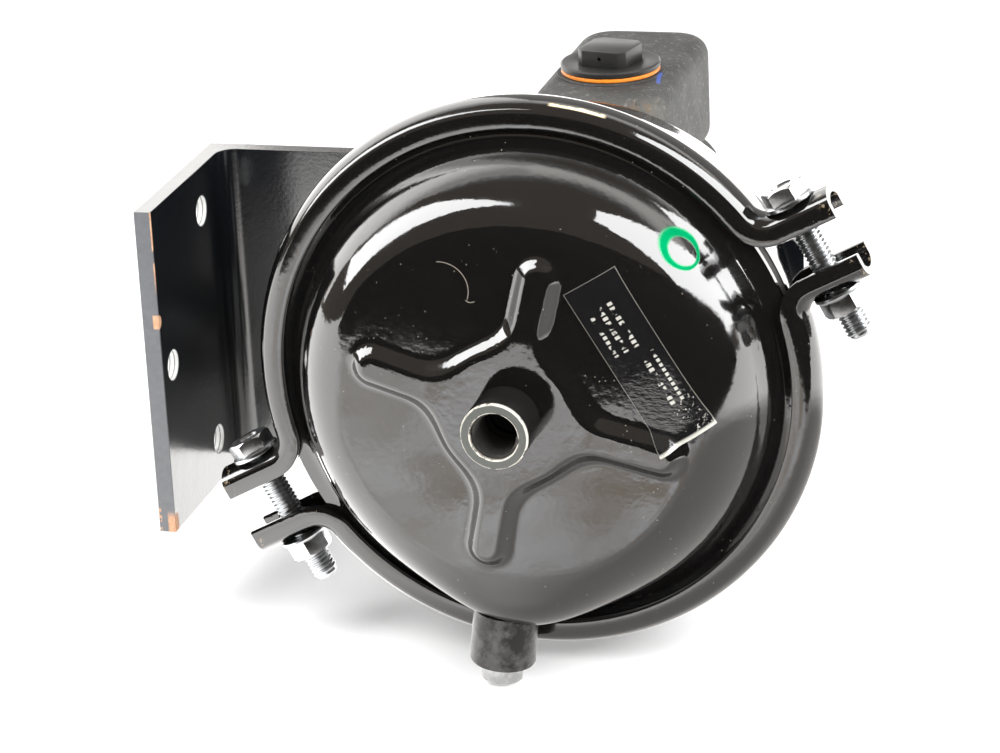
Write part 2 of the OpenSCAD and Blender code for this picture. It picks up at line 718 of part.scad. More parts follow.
module bracket() {
    low = -bracket_drop - bracket_h / 2;
    high = low + bracket_h;
    outer = -side_leg_at - bracket_t;
    free = back_z + side_leg_len;
    f = bracket_fillet;
    c = back_corner_cut;
    color([0.05, 0.06, 0.08]) difference() {
        union() {
            translate([outer, low, bracket_back]) cube([bracket_t, bracket_h, free - bracket_back]);
            translate([0, 0, bracket_back]) linear_extrude(bracket_t) polygon([[outer, low],
                [back_leg_reach - c, low], [back_leg_reach, low + c], [back_leg_reach, high - c],
                [back_leg_reach - c, high], [outer, high]]);
            translate([-side_leg_at, low, back_z]) difference() {
                cube([f, bracket_h, f]);
                translate([f, -cut, f]) rotate([-90, 0, 0]) cylinder(r = f, h = bracket_h + 2 * cut);
            }
        }
        for (s = [-1, 1]) translate([outer - cut, -bracket_drop + s * mount_spacing / 2, mount_origin[2]])
            rotate([0, 90, 0]) cylinder(d = mount_hole_dia, h = bracket_t + 2 * cut);
        translate([outer - cut, -bracket_drop, mount_origin[2] + front_hole_ahead])
            rotate([0, 90, 0]) cylinder(d = mount_hole_dia, h = bracket_t + 2 * cut);
        translate([0, 0, bracket_back - cut]) cylinder(r = pilot_dia / 2 + press, h = bracket_t + 2 * cut);
        for (s = [-1, 1]) translate([s * stud_at, 0, bracket_back - cut])
            cylinder(r = stud_dia / 2 + stud_clear, h = bracket_t + 2 * cut);
    }
}

// Outline shared by the casting's flange and its gasket
module flange_outline() {
    ear_r = stud_dia / 2 + 9;
    circle(r = cyl_r + 6);
    for (s = [-1, 1]) translate([s * stud_at, 0]) circle(r = ear_r);
    translate([-stud_at, -ear_r + 3]) square([2 * stud_at, 2 * ear_r - 6]);
}

module stud_holes() {
    for (s = [-1, 1]) translate([s * stud_at, 0]) circle(r = stud_dia / 2 + stud_clear);
}

module flange_gasket() {
    color([0.35, 0.33, 0.28]) translate([0, 0, bracket_back - gasket_t]) linear_extrude(gasket_t)
        difference() {
            flange_outline();
            stud_holes();
            circle(r = pilot_dia / 2 + press);
        }
}

module cylinder_casting() {
    color([0.3, 0.3, 0.3]) difference() {
        union() {
            translate([0, 0, flange_back]) linear_extrude(cyl_flange_t) difference() {
                flange_outline();
                stud_holes();
            }
            translate([0, 0, flange_face]) cylinder(d = pilot_dia, h = pilot_front - flange_face);
            translate([0, 0, cyl_end]) cylinder(r = cyl_r, h = flange_face - cyl_end);
            translate([0, 0, outlet_end]) cylinder(r = outlet_dia / 2 + 5, h = outlet_boss_h + cut);
            translate([0, 0, bleed_z]) upright() cylinder(r = bleed_flats / 2 + 3, h = bleed_seat);
            translate([-cyl_r * 0.7, 0, res_back_z + pedestal_in])
                cube([cyl_r * 1.4, res_bottom, res_len - 2 * pedestal_in]);
        }
        translate([0, 0, bore_end]) cylinder(r = bore_r, h = bore_front - bore_end + cut);
        translate([0, 0, bore_front]) cylinder(r = guide_r, h = pilot_front - bore_front + cut);
        translate([0, 0, bore_front + stop_t]) cylinder(r = guide_r + 1.4, h = snap_t + 0.1);
        translate([0, 0, outlet_end - cut]) cylinder(d = outlet_dia, h = outlet_depth + cut);
        translate([0, 0, outlet_end]) cylinder(d = tube_seat_dia, h = outlet_depth + tube_seat_t);
        translate([0, 0, cyl_end]) cylinder(d = outlet_drill, h = end_wall + cut);
        translate([0, 0, bleed_z]) upright() cylinder(r = bleed_r, h = bleed_seat + cut);
        fluid_drillings();
    }
}

// Compensating and filling drillings from the bore up into the reservoir
module fluid_drillings() {
    translate([0, 0, piston_back - cup_t - 1.5]) upright() cylinder(r = 0.8, h = res_bottom + res_wall + cut);
    translate([0, 0, piston_back + land + 10]) upright() cylinder(r = 3, h = res_bottom + res_wall + cut);
}

module reservoir_casting() {
    color([0.3, 0.3, 0.3]) difference() {
        union() {
            translate([0, res_bottom, 0]) upright() soft_block(-res_left, res_right, -res_front_z, -res_back_z,
                res_top - res_bottom, res_corner, res_edge);
            translate([0, res_top - cut, cap_z]) upright() cylinder(d = neck_dia, h = neck_h + cut);
        }
        translate([0, res_bottom + res_wall, 0]) upright() linear_extrude(res_top - res_bottom - 2 * res_wall)
            round_rect(-res_left + res_wall, res_right - res_wall, -res_front_z + res_wall,
                -res_back_z - res_wall, res_corner - res_wall);
        translate([0, res_top - res_wall - cut, cap_z]) upright()
            cylinder(r = neck_bore_r, h = res_wall + neck_h + 2 * cut);
        fluid_drillings();
    }
}

module rod_guide() {
    back = bore_front + stop_t + snap_t + 0.1;
    color([0.72, 0.58, 0.3]) difference() {
        translate([0, 0, back]) cylinder(r = guide_r - press, h = pilot_front - back);
        translate([0, 0, back - cut]) cylinder(r = rod_r + slip, h = pilot_front - back + 2 * cut);
        translate([0, 0, pilot_front - wiper_t]) cylinder(d = wiper_dia, h = wiper_t + cut);
    }
}

module rod_wiper() {
    color([0.08, 0.08, 0.08]) tube(wiper_dia / 2 - press, rod_r + slip, pilot_front - wiper_t, pilot_front);
}

module snap_ring() {
    z = bore_front + stop_t;
    color([0.6, 0.6, 0.62]) difference() {
        tube(guide_r + 1.3, guide_r - 2.2, z, z + snap_t);
        translate([0, -3, z - cut]) cube([2 * guide_r, 6, snap_t + 2 * cut]);
    }
}

module stop_washer() {
    color([0.7, 0.7, 0.72]) tube(guide_r - press, rod_r + 3, bore_front, bore_front + stop_t);
}

module piston() {
    r = bore_r - slip;
    groove = piston_front - cup_groove_at - cup_groove_w;
    color([0.75, 0.76, 0.78]) difference() {
        union() {
            translate([0, 0, piston_back]) cylinder(r = r, h = land);
            translate([0, 0, piston_back]) cylinder(r = waist, h = piston_len);
            translate([0, 0, piston_front - front_land]) cylinder(r = r, h = front_land);
            translate([0, 0, piston_back - cup_t]) cylinder(d = nose_dia, h = cup_t + cut);
        }
        tube(r + cut, r - cup_groove_d, groove, groove + cup_groove_w);
        translate([0, 0, rod_tip + rod_r]) cylinder(r = rod_r + press, h = piston_len);
        translate([0, 0, rod_tip + rod_r]) sphere(r = rod_r + press);
    }
}

module secondary_cup() {
    r = bore_r - slip;
    groove = piston_front - cup_groove_at - cup_groove_w;
    color([0.08, 0.08, 0.08]) tube(r, r - cup_groove_d + press, groove, groove + cup_groove_w);
}

module primary_cup() {
    r = bore_r - slip;
    color([0.08, 0.08, 0.08]) difference() {
        translate([0, 0, piston_back - cup_t]) cylinder(r = r, h = cup_t);
        translate([0, 0, piston_back - cup_t - cut]) cylinder(r = nose_dia / 2 + press, h = cup_t + 2 * cut);
        tube(r - 2, nose_dia / 2 + 4, piston_back - cup_t - cut, piston_back - cup_t + 3);
    }
}

module spring_retainer() {
    z = piston_back - cup_t;
    color([0.75, 0.76, 0.78]) {
        translate([0, 0, z - retainer_t]) cylinder(r = spring_r + piston_wire, h = retainer_t);
        translate([0, 0, z - retainer_t - 4]) cylinder(r = spring_r - piston_wire * 3, h = 4);
    }
}

module piston_spring() {
    r = piston_wire / 2;
    color([0.6, 0.6, 0.62])
        coil(spring_r, r, bore_end + r + seat, piston_back - cup_t - retainer_t - r - seat, piston_turns);
}

module outlet_seat() {
    r = tube_seat_dia / 2 - press;
    color([0.75, 0.6, 0.3]) translate([0, 0, tube_seat_z]) difference() {
        union() {
            cylinder(r1 = outlet_drill / 2 + 0.4, r2 = r, h = 2);
            translate([0, 0, 2]) cylinder(r = r, h = tube_seat_t - 2);
        }
        translate([0, 0, -cut]) cylinder(d = outlet_drill - 0.8, h = tube_seat_t + 2 * cut);
    }
}

module bleed_screw() {
    color([0.75, 0.76, 0.7]) translate([0, 0, bleed_z]) upright() difference() {
        union() {
            translate([0, 0, bore_r + 2]) cylinder(r = bleed_r - slip, h = bleed_seat + cut - bore_r - 2);
            translate([0, 0, bleed_seat + seat]) hexagon(bleed_flats, bleed_hex_h);
            translate([0, 0, nipple_z]) cylinder(d = nipple_dia, h = nipple_len - 1);
            translate([0, 0, nipple_z + nipple_len - 1.5]) cylinder(r1 = nipple_dia / 2 + 0.6, r2 = nipple_dia / 2,
                h = 1.5);
        }
        translate([0, 0, bleed_seat - 6]) cylinder(r = 1, h = nipple_len + bleed_hex_h + 6 + cut);
    }
}

module bleed_cap() {
    color([0.1, 0.1, 0.1]) translate([0, 0, bleed_z]) upright() difference() {
        translate([0, 0, nipple_z + seat]) cylinder(r1 = nipple_dia / 2 + 2.4, r2 = nipple_dia / 2 + 1.8,
            h = nipple_len + 2);
        translate([0, 0, nipple_z - cut]) cylinder(r = nipple_dia / 2 + 0.9, h = nipple_len + cut + seat);
    }
}

module cap_seal() {
    color([0.95, 0.5, 0.08]) translate([0, neck_top, cap_z]) upright()
        tube(cap_dia / 2 - 0.4, stem_r + 0.1, 0, seal_t);
}

module filler_cap() {
    side = cap_head / 2;
    flat = side - cap_head_cut;
    top = cap_under + cap_t;
    color([0.07, 0.07, 0.07]) difference() {
        translate([0, 0, cap_z]) {
            translate([0, cap_under, 0]) upright() cylinder(d = cap_dia, h = cap_t);
            translate([0, cap_under - seal_t - cap_stem_len, 0]) upright()
                cylinder(r = stem_r, h = seal_t + cap_stem_len);
            translate([0, top, 0]) upright() rotate([0, 0, -cap_turn]) linear_extrude(cap_head_h)
                polygon([[-flat, -side], [flat, -side], [side, -flat], [side, flat], [flat, side],
                    [-flat, side], [-side, flat], [-side, -flat]]);
        }
        translate([0, top + cap_head_h / 2, cap_z]) rotate([0, cap_turn, 0]) cylinder(d = vent_dia, h = cap_head);
        translate([0, cap_under - seal_t - cap_stem_len - cut, cap_z]) upright()
            cylinder(r = stem_r - stem_wall, h = cap_stem_len + cut);
        translate([0, cap_under - cap_stem_len, cap_z]) upright() cylinder(d = vent_dia,
            h = cap_stem_len + cap_t + cap_head_h / 2);
    }
}

module cap_baffle() {
    z = neck_top - cap_stem_len;
    color([0.7, 0.7, 0.72]) translate([0, z, cap_z]) upright()
        tube(stem_r - stem_wall - press, baffle_hole / 2, 0.5, 1.7);
}

// Half profile of the sticker's sheet, flat on the face and bent over the shoulder
module label_skin() {
    translate([1, front_h]) square([face_r - 1, label_t]);
    intersection() {
        translate([face_r, shoulder_base_z]) difference() {
            circle(r = shoulder_r + label_t);
            circle(r = shoulder_r);
        }
        translate([face_r, shoulder_base_z + shoulder_r / 3]) square(shoulder_r + 2 * label_t);
    }
}

module label() {
    color([0.03, 0.03, 0.03]) difference() {
        intersection() {
            rotate_extrude() label_skin();
            rotate([0, 0, label_turn]) translate([label_out - label_w / 2, label_along - label_len / 2, flange_z])
                cube([label_w, label_len, front_h]);
        }
        rotate([0, 0, rib_angles[3]]) translate([rib_reach - rib_w / 2, 0, 0])
            cylinder(r = rib_w / 2 + 0.5, h = 2 * front_h);
    }
}

place() pressure_housing();
place() centre_port_boss();
place() side_port_boss();
place() side_port_plug();
place() rear_housing();
place() clamp_upper();
place() clamp_lower();
place() clamp_bolts();
place() clamp_nuts();
place() diaphragm();
place() push_plate();
place() push_rod();
place() return_spring();
place() mounting_studs();
place() stud_washers();
place() stud_nuts();
place() bracket();
place() flange_gasket();
place() cylinder_casting();
place() reservoir_casting();
place() rod_guide();
place() rod_wiper();
place() snap_ring();
place() stop_washer();
place() piston();
place() secondary_cup();
place() primary_cup();
place() spring_retainer();
place() piston_spring();
place() outlet_seat();
place() bleed_screw();
place() bleed_cap();
place() cap_seal();
place() filler_cap();
place() cap_baffle();
place() label();
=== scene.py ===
import json
import math

import bpy
from mathutils import Matrix, Vector


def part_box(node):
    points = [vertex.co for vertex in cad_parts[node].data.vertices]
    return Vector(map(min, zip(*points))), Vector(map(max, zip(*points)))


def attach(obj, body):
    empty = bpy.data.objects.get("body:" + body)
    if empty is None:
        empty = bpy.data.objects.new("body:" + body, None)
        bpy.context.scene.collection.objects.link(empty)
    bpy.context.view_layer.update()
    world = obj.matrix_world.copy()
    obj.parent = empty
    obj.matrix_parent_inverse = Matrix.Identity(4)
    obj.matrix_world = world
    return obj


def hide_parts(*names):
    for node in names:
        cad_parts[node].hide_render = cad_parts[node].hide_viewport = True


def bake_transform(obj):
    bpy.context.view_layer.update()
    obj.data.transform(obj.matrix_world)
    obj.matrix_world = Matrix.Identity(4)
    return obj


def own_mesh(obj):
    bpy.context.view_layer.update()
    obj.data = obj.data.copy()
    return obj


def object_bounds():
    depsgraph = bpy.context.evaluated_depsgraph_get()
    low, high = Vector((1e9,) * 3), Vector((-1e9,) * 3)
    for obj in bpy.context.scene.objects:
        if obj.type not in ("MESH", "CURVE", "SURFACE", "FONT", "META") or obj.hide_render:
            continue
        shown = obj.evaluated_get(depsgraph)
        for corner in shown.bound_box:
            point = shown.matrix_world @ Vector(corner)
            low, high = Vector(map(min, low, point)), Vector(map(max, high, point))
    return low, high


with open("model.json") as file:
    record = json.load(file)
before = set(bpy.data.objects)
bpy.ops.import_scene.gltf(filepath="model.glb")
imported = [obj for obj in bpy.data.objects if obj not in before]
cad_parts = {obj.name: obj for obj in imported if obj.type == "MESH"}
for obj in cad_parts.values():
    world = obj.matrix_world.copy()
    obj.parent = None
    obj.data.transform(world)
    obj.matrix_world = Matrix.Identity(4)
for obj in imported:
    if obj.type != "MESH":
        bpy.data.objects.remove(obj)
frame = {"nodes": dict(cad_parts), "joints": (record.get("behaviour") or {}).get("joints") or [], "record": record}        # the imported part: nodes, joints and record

bl_info = {
    "name": "Brake Actuator Builder",
    "version": (1, 0, 0),
    "blender": (4, 5, 0),
    "location": "3D View > Sidebar > Actuator",
    "description": "Dresses the packed brake actuator with modelled and shaded pieces",
    "category": "Add Mesh",
}

CAD_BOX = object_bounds()
MM = 0.001
BODY = "actuator"
CAP_BODY = "cap"
SEAL_BODY = "cap_carrier"
ROD_JOINT = next(joint for joint in frame["joints"] if joint["name"] == "rod_stroke")
EPS = 1e-6
UP = Vector((0, 0, 1))
BACK = Vector((0, 1, 0))
FORWARDS = Vector((0, -1, 0))

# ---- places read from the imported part, in metres in the row frame ----
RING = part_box("clamp_upper")
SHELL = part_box("rear_housing")
AXIS_X = (SHELL[0].x + SHELL[1].x) / 2
AXIS_Z = (SHELL[0].z + SHELL[1].z) / 2
RIM_Y = (RING[0].y + RING[1].y) / 2
CENTRE = Vector((AXIS_X, RIM_Y, AXIS_Z))


def span(node, axis):
    """Lowest and highest coordinate of a CAD node along one axis, in millimetres from the chamber's centre."""
    low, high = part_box(node)
    return (low[axis] - CENTRE[axis]) / MM, (high[axis] - CENTRE[axis]) / MM


CLAMP_R = (RING[1].z - AXIS_Z) / MM
CLAMP_HALF_W = (RING[1].y - RING[0].y) / 2 / MM
FRONT = -span("centre_port_boss", 1)[0]
BRACKET_X, BRACKET_Y, BRACKET_Z = (span("bracket", axis) for axis in range(3))
CASTING_Y = span("cylinder_casting", 1)
RES_X, RES_Y = (span("reservoir_casting", axis) for axis in range(2))
CAP_MID_X, CAP_MID_Y = (sum(span("filler_cap", axis)) / 2 for axis in range(2))
CAP_Z = span("filler_cap", 2)
SEAL_Z = span("cap_seal", 2)
BLEED_Y = sum(span("bleed_screw", 1)) / 2

# ---- sizes that the part's boxes don't show, in millimetres and degrees ----
FACE_R = 61.1            # where the face turns into the shoulder
FACE_AT = 40.0           # the face ahead of the rim
SHOULDER_W = 27.5        # half axes of the shoulder's ellipse, outwards and forwards
SHOULDER_H = 53.0
SHOULDER_FOOT = 34.5     # angle on the ellipse where the wall meets it
WALL_R = 83.8            # the wall at the shoulder's foot
BULGE_R = 85.5           # the same under the bulge over the side port
BULGE_AT = -91.5         # direction of the bulge
BULGE_SPREAD = 20.0      # how wide it is to each side
BULGE_FOOT = 6.0         # depth at which it starts to leave the plain wall
BULGE_FULL = 17.0        # depth at which it has left it
STAR_SOFT = 11.0         # width over which the star's ribs run into its hub
DISH_R = 30.0            # how far from the axis the star is dished
RIBS = ((76.0, 51.5), (162.0, 50.5), (259.0, 50.5), (347.0, 55.0))   # direction and reach of the four ribs
CROWN_TURN = 40.0        # how far the clamp's crown bends before its edges turn in
EAR_WEB = 17.4           # from the clamp's split line to an ear's web
EAR_REACH = 127.0        # from the axis to an ear's end
BOLT_AT = 112.5          # from the axis to a clamp bolt
NUT_FLANGE = 1.6
NUT_H = 6.2
PAST_NUT = 10.4          # bolt beyond its nut
BOSS_FOOT = 38.0         # the centre boss's foot ahead of the rim
PORT_R = 7.45            # crest radius of the port's thread
PORT_PITCH = 1.41
SIDE_Y = 22.5            # side port's axis ahead of the rim
SIDE_FOOT = 82.0         # from the axis to the side boss's foot
SIDE_REACH = 102.5       # from the axis to its end
SIDE_LEAN = 6.5          # side port's turn away from straight down
PLATE = 6.35             # thickness of the bracket
FILLET = 7.0
BACK_CUT = 31.5          # cut of the back leg's corners
MOUNT_HOLES = ((54.0, 37.5), (54.0, -54.5), (12.0, -8.5))
STUD_AT = 60.325         # from the axis to a mounting stud
RES_Z = (32.0, 75.0)     # reservoir's underside and top
RES_WALL = 4.5           # thickness of the reservoir's wall
FLANGE = 8.9             # depth of the pilot ahead of the casting's flange
FLANGE_T = 11.7          # thickness of that flange
BORE_END = 228.55        # bottom of the cylinder's bore
CAP_TURN = -12.0
CAP_HALF = 10.0          # half of the cap's square head
CAP_CUT = 2.8            # cut of its corners
LABEL_TURN = 31.0        # direction of the sticker
LABEL_OUT = 51.3         # from the axis to its middle line
LABEL_W = 21.0
LABEL_LEN = 65.0
LABEL_ALONG = -5.0
GREEN_AT = (58.5, -22.8, 56.5)   # middle of the green inspection ring
GREEN_R = 6.9
HAIR = ((-22.6, 44.6, 10.0, -20, 95), (-12.0, 42.5, 2.2, 215, 310))   # two arcs of a scratch, for scratch_marks


def at(x, y, z):
    """A point given in millimetres from the chamber's centre (right, back, up), in the row frame."""
    return CENTRE + Vector((x, y, z)) * MM


def polar(radius, angle, y):
    """A point at that radius and angle in degrees, seen from the front, and y millimetres back."""
    a = math.radians(angle)
    return at(radius * math.cos(a), y, radius * math.sin(a))


# ==== Operators used as by hand ====
def clear_selection():
    if bpy.context.object and bpy.context.object.mode != "OBJECT":
        leave_edit()
    bpy.ops.object.select_all(action="DESELECT")


def pick(obj):
    clear_selection()
    obj.select_set(True)
    bpy.context.view_layer.objects.active = obj


def named(name):
    """The piece that the last operator made, under its name."""
    bpy.context.object.name = name
    return bpy.context.object


def edit(obj, kind="VERT", action="SELECT"):
    """Opens a piece's mesh with all or none of it selected, or as it was left where action is None."""
    pick(obj)
    bpy.ops.object.mode_set(mode="EDIT")
    bpy.ops.mesh.select_mode(type=kind)
    if action:
        bpy.ops.mesh.select_all(action=action)


def leave_edit():
    bpy.ops.object.mode_set(mode="OBJECT")


def extrude(move):
    bpy.ops.mesh.extrude_region_move(TRANSFORM_OT_translate={"value": move})


def chain(name, points, closed=False):
    """A line of edges drawn from point to point by extruding one vertex, left in edit mode and selected."""
    clear_selection()
    bpy.ops.mesh.primitive_plane_add(size=MM, location=(0, 0, 0))
    obj = named(name)
    bpy.ops.object.mode_set(mode="EDIT")
    bpy.ops.mesh.select_mode(type="VERT")
    bpy.ops.mesh.merge(type="CENTER")
    bpy.ops.transform.translate(value=points[0])
    for start, end in zip(points, points[1:]):
        extrude(end - start)
    bpy.ops.mesh.select_all(action="SELECT")
    if closed:
        bpy.ops.mesh.edge_face_add()
        bpy.ops.mesh.select_mode(type="FACE")
        bpy.ops.mesh.delete(type="ONLY_FACE")
        bpy.ops.mesh.select_mode(type="VERT")
        bpy.ops.mesh.select_all(action="SELECT")
    return obj


def mend(obj):
    """Merges doubles and turns every face outwards."""
    edit(obj)
    bpy.ops.mesh.remove_doubles(threshold=0.00001)
    bpy.ops.mesh.normals_make_consistent(inside=False)
    leave_edit()


def close_ends(obj):
    """Fills the open ends of a drawn form."""
    edit(obj, "EDGE", "DESELECT")
    bpy.ops.mesh.select_non_manifold()
    bpy.ops.mesh.edge_face_add()
    leave_edit()
    mend(obj)


def turn(name, points, centre, axis, steps):
    """A turned form: a chain of points spun about an axis."""
    obj = chain(name, points)
    bpy.ops.mesh.spin(steps=steps, angle=2 * math.pi, center=centre, axis=axis)
    leave_edit()
    mend(obj)
    return obj


def chamber_form(name, profile, steps):
    """A form spun about the chamber's axis from (radius, millimetres ahead of the rim) points."""
    return turn(name, [at(radius, -lit_front, 0) for radius, lit_front in profile], CENTRE, BACK, steps)


def prism(name, points, rise):
    """A closed outline, filled and drawn up."""
    obj = chain(name, points, closed=True)
    bpy.ops.mesh.edge_face_add()
    extrude(Vector((0, 0, rise * MM)))
    leave_edit()
    mend(obj)
    return obj


def use(obj, kind, **settings):
    """Adds a modifier and applies it."""
    pick(obj)
    modifier = obj.modifiers.new(kind.title(), kind)
    for key, value in settings.items():
        setattr(modifier, key, value)
    bpy.ops.object.modifier_apply(modifier=modifier.name)


def carve(obj, cutter, operation="DIFFERENCE"):
    """Cuts one piece by another, which is then deleted."""
    use(obj, "BOOLEAN", object=cutter, operation=operation, solver="EXACT")
    bpy.data.objects.remove(cutter, do_unlink=True)


def drill(obj, radius, start, end, sides=48):
    """Bores a round hole between two points."""
    carve(obj, rod("drill", radius, start, end, sides))


def smooth(obj, degrees):
    pick(obj)
    bpy.ops.object.shade_smooth_by_angle(angle=math.radians(degrees))


def settle(obj):
    """Puts an object's place into its mesh."""
    pick(obj)
    bpy.ops.object.transform_apply(location=True, rotation=True, scale=True)
    return obj


def rod(name, radius, start, end, sides=48):
    """A plain cylinder between two points, used as a cutter or as the start of a piece."""
    clear_selection()
    along = end - start
    bpy.ops.mesh.primitive_cylinder_add(vertices=sides, radius=radius * MM, depth=along.length,
                                        location=(start + end) / 2,
                                        rotation=along.to_track_quat("Z", "Y").to_euler())
    return settle(named(name))


def block(name, low, high):
    """A box from one corner to the other."""
    clear_selection()
    bpy.ops.mesh.primitive_cube_add(size=1, location=(low + high) / 2)
    obj = named(name)
    obj.scale = high - low
    return settle(obj)


def round_edges(obj, width, segments, degrees):
    use(obj, "BEVEL", width=width * MM, segments=segments, limit_method="ANGLE",
        angle_limit=math.radians(degrees), harden_normals=False)


def bevel_along(obj, axis, width, segments):
    """Rounds the edges that run along one axis."""
    edit(obj, "EDGE", "DESELECT")
    leave_edit()
    for edge in obj.data.edges:
        a, b = (obj.data.vertices[i].co for i in edge.vertices)
        run = b - a
        edge.select = abs(run[axis]) > 0.99 * run.length
    edit(obj, "EDGE", None)
    bpy.ops.mesh.bevel(offset=width * MM, segments=segments, affect="EDGES")
    leave_edit()


def stand(obj, foot, along):
    """Moves a mesh made at the origin so that it stands at foot and points along a direction."""
    obj.data.transform(Matrix.Translation(foot) @ along.normalized().to_track_quat("Z", "Y").to_matrix().to_4x4())


def swing(obj, angle):
    """Turns a mesh about the chamber's axis."""
    obj.data.transform(Matrix.Translation(CENTRE) @ Matrix.Rotation(-angle, 4, "Y") @ Matrix.Translation(-CENTRE))


def join(parts, name):
    clear_selection()
    for part in parts:
        part.select_set(True)
    bpy.context.view_layer.objects.active = parts[0]
    bpy.ops.object.join()
    return named(name)


def arc(centre, radius, start, end, count):
    """Points (u, v) along an arc, angles in degrees."""
    angles = [math.radians(start + (end - start) * i / count) for i in range(count + 1)]
    return [(centre[0] + radius * math.cos(a), centre[1] + radius * math.sin(a)) for a in angles]


def dress(obj, finish, *nodes):
    """Gives a piece its material and slot, and hides the CAD nodes it stands for."""
    if not obj.data.polygons:
        raise RuntimeError("%s came out empty" % obj.name)
    obj.data.materials.clear()
    obj.data.materials.append(paint(finish))
    if nodes:
        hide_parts(*nodes)


def finish_piece(obj, degrees, finish, *nodes, body=BODY):
    """Shades a piece smooth up to an angle, dresses it and ties it to its body."""
    smooth(obj, degrees)
    dress(obj, finish, *nodes)
    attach(obj, body)


# ==== Shader maths ====
class Num:
    """A socket that holds a number, added and multiplied as in ordinary maths."""

    def __init__(self, sheet, socket):
        self.sheet = sheet
        self.socket = socket

    def _math(self, operation, first, second=0.0, clamp=False):
        node = self.sheet.node("ShaderNodeMath", {"operation": operation, "use_clamp": clamp},
                               {0: first, 1: second})
        return Num(self.sheet, node.outputs[0])

    def __add__(self, other):
        return self._math("ADD", self, other)

    def __sub__(self, other):
        return self._math("SUBTRACT", self, other)

    def __mul__(self, other):
        return self._math("MULTIPLY", self, other)

    def __truediv__(self, other):
        return self._math("DIVIDE", self, other)

    def __rsub__(self, other):
        return self._math("SUBTRACT", other, self)

    __radd__ = __add__
    __rmul__ = __mul__

    def root(self):
        return self._math("SQRT", self)

    def size(self):
        return self._math("ABSOLUTE", self)

    def most(self, other):
        return self._math("MAXIMUM", self, other)

    def part(self):
        return self._math("FRACT", self)

    def fade(self, low, high):
        """0 at low and 1 at high, straight between them, where both limits vary over the surface."""
        return self._math("DIVIDE", low - self, low - high, True)

    def step(self, low, high):
        """0 below low, 1 above high, smooth between them. Turned round where low is above high."""
        up = low < high
        node = self.sheet.node("ShaderNodeMapRange", {"interpolation_type": "SMOOTHSTEP"},
                               {"Value": self, "From Min": min(low, high), "From Max": max(low, high),
                                "To Min": 0.0 if up else 1.0, "To Max": 1.0 if up else 0.0})
        return Num(self.sheet, node.outputs["Result"])


def far(*gaps):
    """How far a place is from another, from its gaps along two or three axes."""
    total = gaps[0] * gaps[0]
    for gap in gaps[1:]:
        total = total + gap * gap
    return total.root()


class Tree:
    """The node tree of a material or of the world."""

    def __init__(self, owner):
        owner.use_nodes = True
        self.owner = owner
        self.tree = owner.node_tree
        self.tree.nodes.clear()

    def node(self, kind, settings=None, inputs=None):
        node = self.tree.nodes.new(kind)
        for key, value in (settings or {}).items():
            setattr(node, key, value)
        for key, value in (inputs or {}).items():
            self.feed(node.inputs[key], value)
        return node

    def shader(self, kind, **inputs):
        """The output of a shader node, its inputs given by name with spaces as underscores."""
        return self.node("ShaderNode" + kind, None,
                         {key.replace("_", " "): value for key, value in inputs.items()}).outputs[0]

    def either(self, amount, low, high):
        """Shader low where amount is 0 and high where it is 1."""
        return self.node("ShaderNodeMixShader", None, {0: amount, 1: low, 2: high}).outputs[0]

    def feed(self, socket, value):
        if isinstance(value, Num):
            value = value.socket
        if isinstance(value, bpy.types.NodeSocket):
            self.tree.links.new(value, socket)
        elif socket.type == "RGBA" and len(value) == 3:
            socket.default_value = (*value, 1.0)
        else:
            socket.default_value = value


class Sheet(Tree):
    """One material."""

    def __init__(self, name):
        super().__init__(bpy.data.materials.new(name))
        self.place = self.node("ShaderNodeTexCoord").outputs["Object"]

    def axes(self):
        """The place's three coordinates in millimetres from the chamber's centre."""
        node = self.node("ShaderNodeSeparateXYZ", None, {0: self.place})
        return [(Num(self, node.outputs[i]) - CENTRE[i]) * (1 / MM) for i in range(3)]

    def noise(self, scale, detail=2.0, rough=0.5, stretch=None):
        """Noise from 0 to 1 whose grain is about 1/scale millimetres."""
        vector = self.place
        if stretch:
            vector = self.node("ShaderNodeMapping", None, {"Vector": vector, "Scale": stretch}).outputs[0]
        node = self.node("ShaderNodeTexNoise", None,
                         {"Vector": vector, "Scale": scale / MM, "Detail": detail, "Roughness": rough})
        return Num(self, node.outputs["Fac"])

    def cells(self, scale):
        node = self.node("ShaderNodeTexVoronoi", None, {"Vector": self.place, "Scale": scale / MM})
        return Num(self, node.outputs["Distance"])

    def mix(self, amount, low, high):
        """Colour low where amount is 0 and high where it is 1."""
        return self.node("ShaderNodeMix", {"data_type": "RGBA"}, {0: amount, 6: low, 7: high}).outputs[2]

    def bump(self, height, distance):
        return self.node("ShaderNodeBump", None, {"Height": height, "Distance": distance * MM}).outputs[0]

    def show(self, shader):
        """Makes a shader the material's surface."""
        self.node("ShaderNodeOutputMaterial", None, {"Surface": shader})
        return self.owner

    def close(self, colour, roughness, metallic, normal, shine=0.5):
        """The finished surface. Shine is the strength of its mirror-like reflection."""
        return self.show(self.shader("BsdfPrincipled", Base_Color=colour, Roughness=roughness, Metallic=metallic,
                                     Normal=normal, Specular_IOR_Level=shine))


def blend(amount, low, high):
    """Number low where amount is 0 and high where it is 1."""
    return amount * (high - low) + low


def scratch_marks(x, z, marks, width):
    """Thin curved scratches on the front face: each is (centre x, centre z, radius, from, to) in mm and degrees."""
    total = None
    for cx, cz, radius, start, end in marks:
        dx, dz = x - cx, z - cz
        gap = (far(dx, dz) - radius).size().step(width * 2, width)
        middle = math.radians((start + end) / 2)
        reach = math.cos(math.radians(abs(end - start) / 2))
        along = dx * (math.cos(middle) / radius) + dz * (math.sin(middle) / radius)
        mark = gap * along.step(reach, reach + 0.03)
        total = mark if total is None else total.most(mark)
    return total


